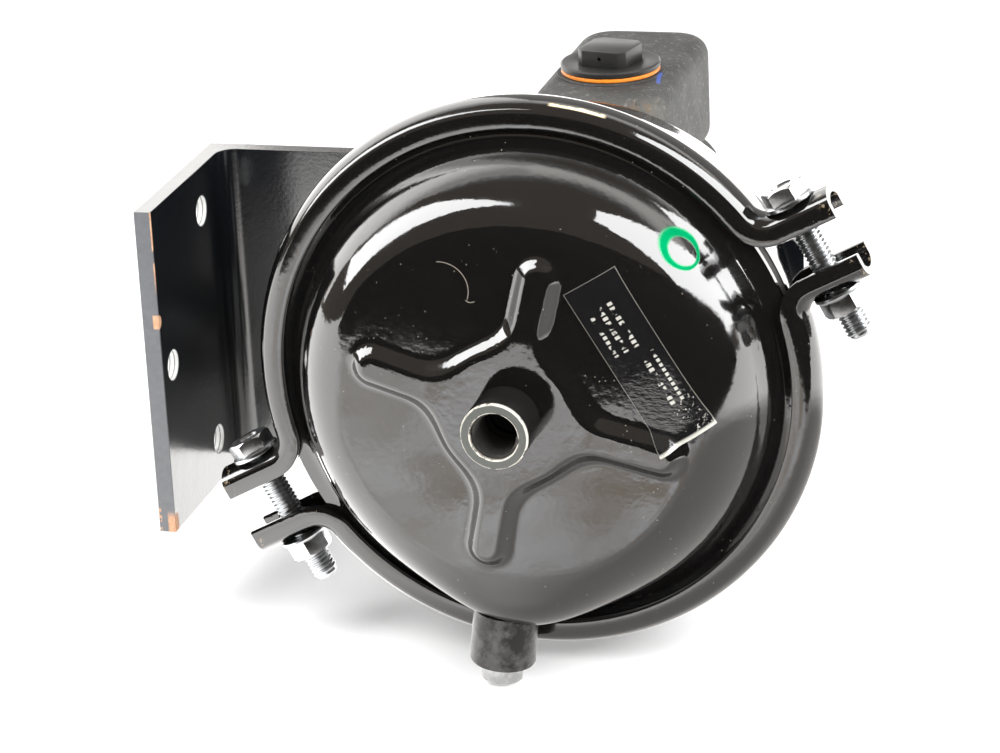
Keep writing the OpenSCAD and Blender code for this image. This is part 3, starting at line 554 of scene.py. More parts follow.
def paint_skin(s):
    """Relief of a sprayed coat: fine grain over a slow swell."""
    return s.noise(0.50, 2.0, 0.45) * 0.7 + s.noise(0.10) * 2.0


# ---- materials ----
def chamber_paint(s):
    """Gloss black paint over pressed steel, with a hair scratch and a green inspection ring."""
    x, y, z = s.axes()
    dust = s.cells(0.35).step(0.10, 0.05) * s.noise(0.05, 1.0).step(0.52, 0.62)
    worn = (scratch_marks(x, z, HAIR, 0.085) * y.step(-30, -36) * 0.5).most(dust * 0.45)
    right, back, up = x - GREEN_AT[0], y - GREEN_AT[1], z - GREEN_AT[2]
    gap = far(right, back, up)
    brush = s.noise(0.16) * 1.4 + (up - right) * 0.09 + 0.6
    green = (gap - GREEN_R).size().fade(brush + 0.4, brush * 0.5 + 0.1) * gap.step(12, 10)
    colour = s.mix(worn, (0.0045, 0.0042, 0.004), (0.42, 0.37, 0.30))
    colour = s.mix(green, colour, (0.0, 0.22, 0.08))
    roughness = blend(s.noise(0.035, 3.0, 0.6).step(0.35, 0.75), 0.05, 0.11).most(worn * 0.8).most(green * 0.6)
    return s.close(colour, roughness, green, s.bump(paint_skin(s), 0.035), 1.0)


def clamp_paint(s):
    """Gloss black paint on the clamp ring, scraped to primer in one streak along its crown."""
    x, y, z = s.axes()
    radius = far(x, z)
    wobble = s.noise(0.18, 3.0, 0.6, (1, 2, 1))
    streak = (y + 5.6 - wobble).size().fade(wobble + 0.35, wobble * 0.7 + 0.1)
    streak = streak * (x / radius - 0.19).size().step(0.105, 0.085) * z.step(60, 80)
    edge = radius.step(123, 126) * s.noise(0.5, 3.0, 0.6).step(0.58, 0.64)
    dust = s.cells(0.4).step(0.09, 0.05) * s.noise(0.06, 1.0).step(0.54, 0.64)
    worn = streak.most(edge * 0.25).most(dust * 0.4)
    colour = s.mix(worn, (0.0048, 0.0045, 0.0043), (0.70, 0.55, 0.36))
    roughness = blend(s.noise(0.04, 3.0, 0.6).step(0.35, 0.75), 0.06, 0.13).most(worn * 0.8)
    return s.close(colour, roughness, 0.0, s.bump(paint_skin(s) - streak, 0.03), 1.0)


def bracket_paint(s):
    """Black paint over thick plate, worn to rusty primer at its front edge, with the bolt holes' walls painted near
    white as a painted reflection.
    """
    x, y, z = s.axes()
    low, high = BRACKET_Z
    edge_x = (x - BRACKET_X[0] - PLATE).size()
    front = y - BRACKET_Y[0]
    edge = front.step(0.9, 0.3)
    line = edge_x.step(0.55, 0.2) * edge * (high - z).step(34, 20) * s.noise(0.1, 3.0, 0.6).step(0.42, 0.52)
    foot = front.step(5, 2) * (z - low).step(9, 5) * edge_x.step(3.2, 2.4)
    foot = foot.most(edge * (z - low).step(13, 9) * edge_x.step(4.9, 5.6) * s.noise(0.5, 3.0, 0.6).step(0.5, 0.56))
    spots = far(front, z - 12.0).step(3.0, 2.2) * edge_x.step(2.5, 2.0)
    rust = line.most(foot).most(spots)
    # painted reflection: the bolt holes' walls are painted near white, striped darker, for the bright room they
    # reflect
    bore_glint = None
    for hole_y, hole_z in MOUNT_HOLES:
        wall = far(y - hole_y, z - hole_z).step(6.1, 5.8)
        bore_glint = wall if bore_glint is None else bore_glint.most(wall)
    bore_glint = bore_glint * (x - BRACKET_X[0]).step(PLATE + 0.2, PLATE - 0.3)
    colour = s.mix(s.noise(0.02, 3.0).step(0.35, 0.7), (0.004, 0.0048, 0.0062), (0.0065, 0.0072, 0.0088))
    colour = s.mix(edge, colour, s.mix(s.noise(0.4, 3.0), (0.055, 0.058, 0.066), (0.105, 0.108, 0.118)))
    rusty = s.mix(s.noise(0.8, 3.0), (0.34, 0.13, 0.05), (0.72, 0.46, 0.30))
    # stripes of the painted reflection in the bolt holes
    glint_bands = ((x * 0.55).part() - 0.5).size().step(0.34, 0.42)
    colour = s.mix(bore_glint, s.mix(rust, colour, rusty), s.mix(glint_bands, (0.82, 0.82, 0.80), (0.22, 0.22, 0.21)))
    roughness = blend(s.noise(0.05, 3.0, 0.6), 0.12, 0.22).most(rust * 0.9).most(bore_glint * 0.6).most(edge * 0.5)
    skin = s.noise(0.7, 3.0) + s.noise(0.05, 3.0) * 3.0
    return s.close(colour, roughness, 0.0, s.bump(skin - rust * 3.0, 0.03), 0.9)


def boss_steel(s):
    """Black paint on the turned bosses, worn bright around the edges of the mouth, dark inside."""
    x, y, z = s.axes()
    radius = far(x, z)
    lit_front = y.step(-FRONT + 1.9, -FRONT + 0.8)
    outer = lit_front * radius.step(11.35, 11.6) * s.noise(0.35, 3.0, 0.6).step(0.36, 0.46)
    inner = lit_front * radius.step(9.0, 8.8) * radius.step(8.2, 8.4) * s.noise(0.3, 3.0, 0.6).step(0.36, 0.48)
    rim = outer.most(inner)
    face = lit_front * radius.step(8.6, 9.0)
    inside = radius.step(8.7, 8.45) * y.step(-20, -30)
    bare = s.mix(s.noise(0.6), (0.40, 0.37, 0.32), (0.74, 0.70, 0.62))
    dull = s.noise(0.12, 4.0, 0.65).step(0.40, 0.66) * z.step(-70, -78)
    colour = s.mix(inside, s.mix(dull, (0.010, 0.0095, 0.009), (0.075, 0.074, 0.072)), (0.05, 0.048, 0.045))
    colour = s.mix(rim, s.mix(face, colour, (0.085, 0.088, 0.080)), bare)
    roughness = blend(rim.most(face), 0.16, 0.45).most(inside * 0.35)
    lines = s.noise(1.2, 3.0) + s.noise(1.4, 2.0, 0.5, (1, 6, 1))
    return s.close(colour, roughness, inside * 0.6, s.bump(lines, 0.03), 0.35)


def zinc(s):
    """Bright zinc plate, slightly mottled, with fine turning lines."""
    mottle = s.noise(0.35, 4.0, 0.6)
    tint = s.mix(mottle.step(0.35, 0.7), (0.44, 0.455, 0.47), (0.62, 0.63, 0.64))
    stain = s.noise(0.12, 3.0, 0.6).step(0.60, 0.75)
    colour = s.mix(stain * 0.5, tint, (0.36, 0.34, 0.28))
    return s.close(colour, blend(mottle, 0.24, 0.40), 1.0, s.bump(s.noise(2.2) + mottle * 0.8, 0.02))


def zinc_yellow(s):
    """Yellow zinc plate."""
    mottle = s.noise(0.3, 4.0, 0.6)
    colour = s.mix(mottle.step(0.35, 0.65), (0.62, 0.50, 0.24), (0.70, 0.62, 0.40))
    return s.close(colour, blend(mottle, 0.26, 0.42), 1.0, s.bump(s.noise(2.0), 0.02))


def plain_metal(s, dark, pale, rough_low, rough_high):
    """Bare metal with fine marks."""
    mottle = s.noise(0.25, 4.0, 0.6)
    lines = s.noise(1.6, 2.0, 0.5, (1, 8, 1))
    colour = s.mix(mottle.step(0.3, 0.7), dark, pale)
    return s.close(colour, blend(mottle, rough_low, rough_high), 1.0, s.bump(lines + mottle, 0.02))


def moulded_black(s, broad, dark, rough_low, rough_high, fine):
    """Moulded black rubber or plastic with a fine texture."""
    mottle = s.noise(*broad)
    colour = s.mix(mottle, dark, (0.024, 0.023, 0.022))
    return s.close(colour, blend(mottle, rough_low, rough_high), 0.0, s.bump(s.noise(*fine), 0.03), 0.3)


def gasket_fibre(s):
    """Compressed fibre sheet."""
    fibres = s.noise(0.8, 4.0, 0.7, (1, 1, 3))
    colour = s.mix(fibres, (0.10, 0.085, 0.06), (0.26, 0.22, 0.17))
    return s.close(colour, 0.85, 0.0, s.bump(fibres, 0.05))


def rough_casting(s):
    """Grey-black casting as it comes from the sand, with painted light: its front face is painted paler, as if lit
    more strongly. A blue paint mark lies by the cap.
    """
    x, y, z = s.axes()
    sand = s.noise(1.3, 4.0, 0.65)
    broad = s.noise(0.06, 3.0, 0.6)
    # painted light: the front face is painted paler, for the stronger light it gets; the brown stains there are real
    lit_front = y.step(RES_Y[0] + 16, RES_Y[0] + 4) * z.step(RES_Z[1] + 2, RES_Z[1] - 8)
    base = s.mix(broad.step(0.35, 0.7), (0.034, 0.034, 0.033), (0.056, 0.055, 0.053))
    base = s.mix(lit_front, base, s.mix(broad, (0.095, 0.092, 0.085), (0.165, 0.155, 0.138)))
    speck = s.noise(0.45, 4.0, 0.75).step(0.56, 0.66)
    pocks = s.noise(0.38, 3.0, 0.7, (1.3, 1, 0.8)).step(0.60, 0.68)
    stain = s.noise(0.16, 4.0, 0.7).step(0.54, 0.66) * lit_front
    across = x - CAP_MID_X - 19.6
    along = CAP_MID_Y - y
    curl = along * 0.25
    blue = (across - curl * curl * 0.16).size().step(1.0, 0.5) * (along - 7).size().step(6.5, 5)
    blue = blue * z.step(RES_Z[1] - 6, RES_Z[1] - 3) * s.noise(0.4, 3.0).step(0.24, 0.32)
    colour = base
    for share, tint in ((speck * 0.5, (0.22, 0.215, 0.205)), (pocks * 0.7, (0.03, 0.028, 0.026)),
                        (stain * 0.5, (0.17, 0.105, 0.05)), (blue, (0.055, 0.10, 0.34))):
        colour = s.mix(share, colour, tint)
    relief = sand * 1.4 + s.cells(0.7) * 0.8 - pocks * 0.6
    return s.close(colour, blend(sand, 0.55, 0.80), 0.0, s.bump(relief, 0.16), 0.2)


def seal_orange(s):
    """Orange silicone rubber with a little grime."""
    grime = s.noise(0.5, 3.0, 0.6).step(0.55, 0.75)
    colour = s.mix(grime * 0.6, (0.80, 0.24, 0.02), (0.30, 0.10, 0.03))
    return s.close(colour, 0.42, 0.0, s.bump(s.noise(1.5), 0.02))


def sticker_vinyl(s):
    """Glossy black vinyl with a fine pale outline and plain rows of dashes, rubbed towards its lower end."""
    x, _, z = s.axes()
    a = math.radians(LABEL_TURN)
    across = x * math.cos(a) + z * math.sin(a) - LABEL_OUT
    along = z * math.cos(a) - x * math.sin(a) - LABEL_ALONG
    half_w, half_len = LABEL_W / 2, LABEL_LEN / 2
    edge = across.size().step(half_w - 0.3, half_w - 0.15).most(along.size().step(half_len - 0.3, half_len - 0.15))
    row = ((across * 0.24).part() - 0.5).size().step(0.26, 0.20)
    dash = ((along * 0.52).part() - 0.5).size().step(0.34, 0.28)
    broken = s.noise(0.22, 2.0, 0.6).step(0.44, 0.50)
    upper = (along - 14).size().step(9.5, 9.0) * (across + 1.5).size().step(5.5, 5.0)
    lower = (along + 9).size().step(10.5, 10.0) * (across - 3.2).size().step(3.6, 3.2)
    print_mask = row * dash * broken * upper.most(lower)
    speck = s.noise(0.7, 3.0, 0.7).step(0.60, 0.66) * along.step(-12, -22) * across.step(-2, 4)
    lift = along.step(-half_len + 1.7, -half_len + 0.7)
    pale = (print_mask * 0.5).most(speck * 0.5).most(edge * 0.16).most(lift * 0.55)
    colour = s.mix(pale, (0.006, 0.006, 0.0065), (0.78, 0.76, 0.68))
    ripple = s.noise(0.42, 3.0, 0.6, (1, 1, 2)) * along.step(2, -14)
    roughness = blend(s.noise(0.16, 4.0, 0.7), 0.05, 0.12).most(pale * 0.5)
    return s.close(colour, roughness, 0.0, s.bump(ripple * 2.6 + s.noise(0.6), 0.05), 1.0)


# slot, which is also the material's name: the function that makes it and what else that function is given
MATERIALS = {
    "chamber_paint": (chamber_paint,),
    "clamp_paint": (clamp_paint,),
    "bracket_paint": (bracket_paint,),
    "boss_steel": (boss_steel,),
    "zinc": (zinc,),
    "zinc_yellow": (zinc_yellow,),
    "rubber": (moulded_black, (0.2, 3.0, 0.6), (0.010, 0.010, 0.010), 0.55, 0.75, (1.6, 3.0)),
    "pressed_steel": (plain_metal, (0.32, 0.32, 0.33), (0.52, 0.53, 0.55), 0.30, 0.48),
    "spring_steel": (plain_metal, (0.10, 0.10, 0.11), (0.24, 0.24, 0.25), 0.30, 0.50),
    "gasket": (gasket_fibre,),
    "casting": (rough_casting,),
    "bronze": (plain_metal, (0.42, 0.29, 0.12), (0.58, 0.42, 0.20), 0.34, 0.50),
    "piston_metal": (plain_metal, (0.52, 0.53, 0.55), (0.70, 0.71, 0.73), 0.18, 0.30),
    "seal_orange": (seal_orange,),
    "cap_plastic": (moulded_black, (0.12, 2.0), (0.012, 0.012, 0.012), 0.36, 0.50, (1.8, 3.0, 0.6)),
    "sticker": (sticker_vinyl,),
}
made_materials = {}


def paint(name):
    """The named material, made once."""
    if name not in made_materials:
        make, *values = MATERIALS[name]
        made_materials[name] = make(Sheet(name), *values)
    return made_materials[name]


# ==== Settings ====
def length(name, description, default):
    """A length, whose default is given in millimetres."""
    return bpy.props.FloatProperty(name=name, description=description, default=default * MM, unit="LENGTH")


def angle(name, description, default):
    """An angle, whose default is given in degrees."""
    return bpy.props.FloatProperty(name=name, description=description, default=math.radians(default), subtype="ANGLE")


def level(name, description, default, subtype="NONE"):
    return bpy.props.FloatProperty(name=name, description=description, default=default, subtype=subtype)


class HousingSettings(bpy.types.PropertyGroup):
    sheet: length("Sheet", "Thickness of the pressed housings", 2.6)
    rib_height: length("Rib height", "Height of the pressed star above the face", 4.8)
    dish: length("Dish", "How much lower the star is around the port", 0.9)
    hub_radius: length("Hub radius", "Radius of the star's hub", 26)
    rib_half: length("Rib half width", "Half of a rib's width at half height", 6.2)
    rib_slope: length("Rib slope", "Width of a rib's sloping flank", 5.4)
    bulge_height: level("Bulge", "How far the bulge over the side port stands out", 1.0, "FACTOR")


class ClampSettings(bpy.types.PropertyGroup):
    sheet: length("Sheet", "Thickness of the clamp's sheet", 3)
    corner: length("Corner", "Outer radius of the edges of the clamp's channel", 3.6)
    depth: length("Depth", "Depth of the clamp's channel", 10.2)
    bend: length("Bend", "Outside radius of the bend from ring to ear", 5)
    split: angle("Split", "Angle of the split above the horizontal", 27.5)


class FastenerSettings(bpy.types.PropertyGroup):
    flats: length("Flats", "Width across flats of clamp bolts and nuts", 14.3)
    pitch: length("Pitch", "Thread pitch of the clamp bolts", 1.59)


class StageSettings(bpy.types.PropertyGroup):
    azimuth: angle("Azimuth", "Camera's turn to the right of the chamber's axis", 15.67)
    elevation: angle("Elevation", "Camera's height above the horizon", 20.64)
    roll: angle("Roll", "Camera's roll", -2.75)
    distance: length("Distance", "From the camera to the point it is aimed at", 1281.8)
    lens: level("Lens", "Focal length", 129.6)
    gloss: level("Gloss", "Brightness of the pale room in reflections", 4.4)
    floor_gloss: level("Floor gloss", "Brightness of the floor in reflections", 3.9)
    softbox: level("Softbox", "Brightness of the softboxes in reflections", 10.5)
    fill: level("Fill", "Brightness of the room on matt surfaces", 0.75)
    floor_glow: level("Floor glow", "Light that the floor adds for the camera", 0.22)
    floor_colour: bpy.props.FloatVectorProperty(name="Floor", description="Colour of the floor", size=3,
                                                default=(0.86, 0.86, 0.86), subtype="COLOR")


# ==== Housings ====
def shoulder_point(t, bulge):
    """A point on the front housing's shoulder as (radius, depth), t from the wall at 0 to the face at 1.

    The shoulder is part of an ellipse. Over the side port it bulges into a squarer corner.
    """
    a = math.radians(SHOULDER_FOOT + (90 - SHOULDER_FOOT) * t)
    plain = (FACE_R + SHOULDER_W * math.cos(a), FACE_AT - SHOULDER_H + SHOULDER_H * math.sin(a))
    foot, wall, corner, top = BULGE_FULL, 8.0, 14.0, 10.4
    bend = corner * math.pi / 2
    s = t * (wall + bend + top)
    if s < wall:
        square = (BULGE_R, foot + s)
    elif s < wall + bend:
        b = (s - wall) / corner
        square = (BULGE_R - corner + corner * math.cos(b), foot + wall + corner * math.sin(b))
    else:
        rest = s - wall - bend
        square = (BULGE_R - corner - rest, foot + wall + corner + rest / top)
    return tuple(p + (q - p) * bulge for p, q in zip(plain, square))


def face_depth(radius):
    """Depth of the plain face or shoulder at a radius, without the star."""
    out = max(radius - FACE_R, 0.0) / SHOULDER_W
    return FACE_AT - SHOULDER_H + SHOULDER_H * math.sqrt(max(0.0, 1 - out ** 2))


def smooth_least(a, b, width):
    """The smaller of two numbers, with their crossing rounded over width."""
    h = max(width - abs(a - b), 0.0) / width
    return min(a, b) - h * h * width * 0.25


def ramp(share, bend=0.25):
    """A straight rise from 0 to 1 whose two ends are rounded over the share bend."""
    share = min(max(share, 0.0), 1.0)
    if share > 0.5:
        return 1 - ramp(1 - share, bend)
    if share < bend:
        return share * share / (2 * bend * (1 - bend))
    return (share - bend / 2) / (1 - bend)


def star_height(x, z, settings):
    """Height of the pressed star above the face, in millimetres."""
    out = math.hypot(x, z)
    nearest = out - settings.hub_radius / MM
    for direction, reach in RIBS:
        a = math.radians(direction)
        along = x * math.cos(a) + z * math.sin(a)
        across = -x * math.sin(a) + z * math.cos(a)
        past = along - min(max(along, 0.0), reach)
        nearest = smooth_least(nearest, math.hypot(past, across) - settings.rib_half / MM, STAR_SOFT)
    dish = settings.dish / MM * max(0.0, 1 - out / DISH_R)
    return (settings.rib_height / MM - dish) * ramp(0.5 - nearest / (settings.rib_slope / MM))


def front_form(obj, rings, settings):
    """Presses the star and the bulge into the plain turned housing."""
    for vertex in obj.data.vertices:
        p = (vertex.co - CENTRE) / MM
        radius, depth = math.hypot(p.x, p.z), -p.y
        if radius < EPS:
            continue
        away = (math.degrees(math.atan2(p.z, p.x)) - BULGE_AT + 180) % 360 - 180
        bulge = settings.bulge_height * math.exp(-(away / BULGE_SPREAD) ** 2)
        t = min(rings, key=lambda ring: abs(ring[0] - radius) + abs(ring[1] - depth))[2]
        r, d = radius, depth
        if t is not None:
            r, d = shoulder_point(t, bulge)
        elif radius > FACE_R:
            foot = min(max((depth - BULGE_FOOT) / (BULGE_FULL - BULGE_FOOT), 0.0), 1.0)
            r += (BULGE_R - WALL_R) * bulge * foot
        x, z = r * p.x / radius, r * p.z / radius
        if depth > 30:
            d += star_height(x, z, settings)
        vertex.co = at(x, -d, z)


def face_forwards(obj):
    """Turns an open skin's faces so that its front looks forwards."""
    foremost = min(obj.data.polygons, key=lambda face: face.center.y)
    if foremost.normal.y > 0:
        edit(obj)
        bpy.ops.mesh.flip_normals()
        leave_edit()


class ACTUATOR_OT_front_housing(bpy.types.Operator):
    """Spins the front housing, presses its star and bulge and gives it its wall"""
    bl_idname = "actuator.front_housing"
    bl_label = "Front housing"

    def execute(self, context):
        settings = context.scene.actuator_housing
        rings = [(96.0, 3.0, None), (96.0, 5.6, None), (92.4, 5.6, None), (90.6, 5.8, None), (89.3, 6.6, None),
                 (88.4, 8.0, None), (87.4, 10.0, None), (86.2, 12.6, None), (85.0, 15.0, None)]
        rings += [(*shoulder_point(i / 22, 0.0), i / 22) for i in range(23)]
        r = 59.5
        while r > 13:
            rings.append((r, FACE_AT, None))
            r -= 1.1
        rings += [(10.5, FACE_AT, None), (7.6, FACE_AT, None)]
        obj = chamber_form("front_housing", [ring[:2] for ring in rings], 300)
        face_forwards(obj)
        front_form(obj, rings, settings)
        use(obj, "SOLIDIFY", thickness=settings.sheet, offset=-1.0)
        finish_piece(obj, 40, "chamber_paint", "pressure_housing")
        return {"FINISHED"}


class ACTUATOR_OT_rear_housing(bpy.types.Operator):
    """Spins the rear housing and gives it its wall"""
    bl_idname = "actuator.rear_housing"
    bl_label = "Rear housing"

    def execute(self, context):
        back = span("rear_housing", 1)[1]
        sheet = context.scene.actuator_housing.sheet / MM
        wall = [(88.2, 18.0), (86.6, 30.0), (84.6, 44.0), (82.6, 56.0), (80.2, back - 10.5)]
        outline = [(96.0, 5.6), (92.2, 5.6), (90.6, 6.2), (89.8, 7.6)] + wall
        outline += arc((69.8, back - 10.0), 10.0, 0, 90, 8) + [(50.0, back), (22.1, back)]
        outline += [(22.1, back - sheet), (50.0, back - sheet)] + arc((69.8, back - 10.0), 10.0 - sheet, 90, 0, 8)
        outline += [(r - sheet, y) for r, y in reversed(wall)]
        outline += [(87.2, 7.6), (87.6, 5.0), (89.2, 5.6 - sheet), (96.0, 5.6 - sheet)]
        obj = chamber_form("rear_housing_shell", [(r, -y) for r, y in outline + outline[:1]], 192)
        for drain in (225, 270, 315):
            drill(obj, 4.5, polar(60, drain, 40), polar(110, drain, 40))
        finish_piece(obj, 35, "chamber_paint", "rear_housing")
        return {"FINISHED"}


# ==== Clamp ring ====
def channel_section(settings):
    """The clamp channel's closed section as (inwards, sideways) in millimetres."""
    corner, sheet, depth = settings.corner / MM, settings.sheet / MM, settings.depth / MM
    half = CLAMP_HALF_W
    lip = 0.7
    turned = 180 - CROWN_TURN
    over, across = math.cos(math.radians(CROWN_TURN)), math.sin(math.radians(CROWN_TURN))
    crown = (half - corner * (1 - across)) / across
    hub = (crown - (crown - corner) * over, (crown - corner) * across)
    right = arc((crown, 0), crown, 177, turned, 6) + arc(hub, corner, turned - 5, 90, 5)
    right += arc((depth - lip, half - lip), lip, 90, 0, 2) + arc((depth - lip, half - sheet + lip), lip, 0, -90, 2)
    right += arc(hub, corner - sheet, 90, turned, 3) + arc((crown, 0), crown - sheet, turned + 4, 177, 5)
    return right + [(u, -v) for u, v in reversed(right)]


def clamp_half(name, turned, settings):
    """One clamp half: ear, bend, ring, bend and ear, drawn out from a section at the first ear's end."""
    bend = settings.bend / MM
    rise = math.asin((EAR_WEB + bend) / (CLAMP_R + bend))
    bend_u = (CLAMP_R + bend) * math.cos(rise)
    ear = Vector(((bend_u - EAR_REACH) * MM, 0, 0))
    obj = chain(name, [at(EAR_REACH, side, EAR_WEB - deep) for deep, side in channel_section(settings)], closed=True)
    extrude(ear)
    for steps, angle_spun, centre, axis in (
            (10, math.pi / 2 - rise, at(bend_u, 0, EAR_WEB + bend), FORWARDS),
            (112, math.pi - 2 * rise, CENTRE, BACK),
            (10, math.pi / 2 - rise, at(-bend_u, 0, EAR_WEB + bend), FORWARDS)):
        bpy.ops.mesh.spin(steps=steps, angle=angle_spun, center=centre, axis=axis)
    extrude(ear)
    leave_edit()
    mend(obj)
    close_ends(obj)
    for side in (-1, 1):
        drill(obj, 5.2, at(side * BOLT_AT, 0, 0), at(side * BOLT_AT, 0, 40))
    swing(obj, turned)
    return obj


class ACTUATOR_OT_clamp(bpy.types.Operator):
    """Draws out both halves of the clamp ring"""
    bl_idname = "actuator.clamp"
    bl_label = "Clamp ring"

    def execute(self, context):
        settings = context.scene.actuator_clamp
        for half, turned in (("upper", settings.split), ("lower", settings.split + math.pi)):
            obj = clamp_half("clamp_ring_" + half, turned, settings)
            finish_piece(obj, 40, "clamp_paint", "clamp_" + half)
        return {"FINISHED"}


# ==== Fasteners and ports ====
def thread(name, radius, depth, pitch, foot, along, turns, steps=28):
    """A threaded sleeve: a wavy strip screwed round the line from foot along a direction.

    Its grooves lie depth beyond its crests' radius, so a negative depth makes an outside thread. The first
    and last turns run out into the core.
    """
    profile = [(depth, 0.0), (0.0, pitch * 0.40), (0.0, pitch * 0.55), (depth, pitch * 0.95), (depth, pitch)]
    obj = chain(name, [Vector(((radius + out) * MM, 0, z * MM)) for out, z in profile])
    leave_edit()
    use(obj, "SCREW", angle=2 * math.pi, screw_offset=pitch * MM, iterations=turns, steps=steps, render_steps=steps,
        axis="Z", use_merge_vertices=True, merge_threshold=0.00001, use_normal_calculate=True)
    stand(obj, foot, along)
    mend(obj)
    return obj


def hexagon(name, flats, height, foot, along, spin_degrees):
    """A hexagonal head with turned-down corners at its far end."""
    clear_selection()
    bpy.ops.mesh.primitive_cylinder_add(vertices=6, radius=flats / math.sqrt(3) * MM, depth=height * MM)
    obj = named(name)
    obj.data.transform(Matrix.Translation((0, 0, height / 2 * MM))
                       @ Matrix.Rotation(math.radians(spin_degrees), 4, "Z"))
    clear_selection()
    bpy.ops.mesh.primitive_cone_add(vertices=64, radius1=(flats / 2 + height + 1.0) * MM,
                                    radius2=(flats / 2 - 0.8) * MM, depth=(height + 2.0) * MM,
                                    location=(0, 0, height / 2 * MM))
    carve(obj, settle(bpy.context.object), "INTERSECT")
    round_edges(obj, 0.25, 2, 25)
    stand(obj, foot, along)
    return obj


def turned_part(name, profile, foot, along, steps=64):
    """A turned piece from (radius, height) points, standing at foot and pointing along a direction."""
    obj = turn(name, [Vector((r * MM, 0, z * MM)) for r, z in profile], (0, 0, 0), (0, 0, 1), steps)
    stand(obj, foot, along)
    return obj


def clamp_fastener(side, settings, split):
    """One clamp bolt and its nut, modelled beside the split line and turned with it."""
    pitch, flats = settings.pitch / MM, settings.flats / MM
    web = EAR_WEB
    tip = -web - NUT_FLANGE - NUT_H - PAST_NUT
    foot = at(side * BOLT_AT, 0, 0)
    turns = int((web - tip - 2.0) / pitch)
    strand = thread("strand", 4.70, -0.75, pitch, foot + Vector((0, 0, (tip + 1.2) * MM)), UP, turns)
    end_z = tip + 1.2 + pitch * (turns + 1)
    core = turned_part("core", [(0, tip), (3.3, tip), (4.0, tip + 0.9), (3.98, end_z), (4.6, end_z),
                                (4.6, web + 0.2), (0, web + 0.2)], foot, UP, 48)
    dish = turned_part("dish", [(4.0, web), (9.0, web), (9.1, web + 0.5), (8.8, web + 1.3), (7.6, web + 1.8),
                                (0, web + 2.2)], foot, UP)
    head = hexagon("head", flats, 6.4, at(side * BOLT_AT, 0, web + 0.3), UP, 12 + 20 * side)
    carve(head, turned_part("dimple", [(0, 0), (3.6, 0), (4.4, 2.0), (0, 2.0)],
                            at(side * BOLT_AT, 0, web + 5.9), UP, 40))
    nut_body = hexagon("nut_body", flats, NUT_H, at(side * BOLT_AT, 0, -web - NUT_FLANGE), -UP, 5 + 17 * side)
    nut_disc = turned_part("nut_disc", [(4.9, -web), (8.8, -web), (9.0, -web - 0.7), (8.4, -web - 1.5),
                                        (6.6, -web - 2.6), (4.9, -web - 2.6), (4.9, -web)], foot, UP)
    drill(nut_body, 4.85, foot, at(side * BOLT_AT, 0, -60))
    where = "right" if side > 0 else "left"
    for name, parts in (("bolt", [strand, core, dish, head]), ("nut", [nut_body, nut_disc])):
        obj = join(parts, "clamp_%s_%s" % (name, where))
        swing(obj, split)
        finish_piece(obj, 35, "zinc", "clamp_%ss" % name)


class ACTUATOR_OT_clamp_fasteners(bpy.types.Operator):
    """Turns and threads the two clamp bolts and their nuts"""
    bl_idname = "actuator.clamp_fasteners"
    bl_label = "Clamp bolts and nuts"

    def execute(self, context):
        for side in (1, -1):
            clamp_fastener(side, context.scene.actuator_fasteners, context.scene.actuator_clamp.split)
        return {"FINISHED"}


class ACTUATOR_OT_ports(bpy.types.Operator):
    """Turns the two port bosses, cuts the centre port's thread and screws the plug into the side port"""
    bl_idname = "actuator.ports"
    bl_label = "Ports"

    def execute(self, context):
        low = BOSS_FOOT
        boss = turned_part("centre_boss", [
            (PORT_R, low), (12.0, low), (12.0, FRONT - 0.9), (11.7, FRONT - 0.25), (11.1, FRONT), (9.1, FRONT),
            (8.5, FRONT - 0.5), (8.35, FRONT - 1.4), (8.35, low), (PORT_R, low)], CENTRE, FORWARDS, 96)
        turns = int((FRONT - 2.2 - low) / PORT_PITCH)
        inner = thread("inner", PORT_R, 0.80, PORT_PITCH, CENTRE + FORWARDS * (low * MM), FORWARDS, turns, 40)
        finish_piece(join([boss, inner], "centre_port_boss_piece"), 30, "boss_steel", "centre_port_boss")

        lean = math.radians(SIDE_LEAN)
        down = Vector((-math.sin(lean), 0, -math.cos(lean)))
        seat = CENTRE + Vector((0, -SIDE_Y * MM, 0))
        low, end = SIDE_FOOT, SIDE_REACH
        side = turned_part("side_port_boss_piece", [
            (7.6, low), (11.9, low), (11.9, end - 0.8), (11.6, end - 0.2), (11.1, end), (8.8, end),
            (7.9, end - 0.7), (7.6, end - 1.5), (7.6, low)], seat, down, 80)
        finish_piece(side, 30, "boss_steel", "side_port_boss")

        collar = turned_part("plug_core", [
            (0, 84.0), (7.3, 84.0), (7.5, end - 0.4), (7.5, end + 0.6), (7.0, end + 0.6), (7.0, end + 1.0),
            (0, end + 1.0)], seat, down)
        head = hexagon("plug_head", 14.0, 6.3, seat + down * ((end + 0.6) * MM), down, 10)
        finish_piece(join([collar, head], "side_port_plug_piece"), 35, "zinc", "side_port_plug")
        return {"FINISHED"}


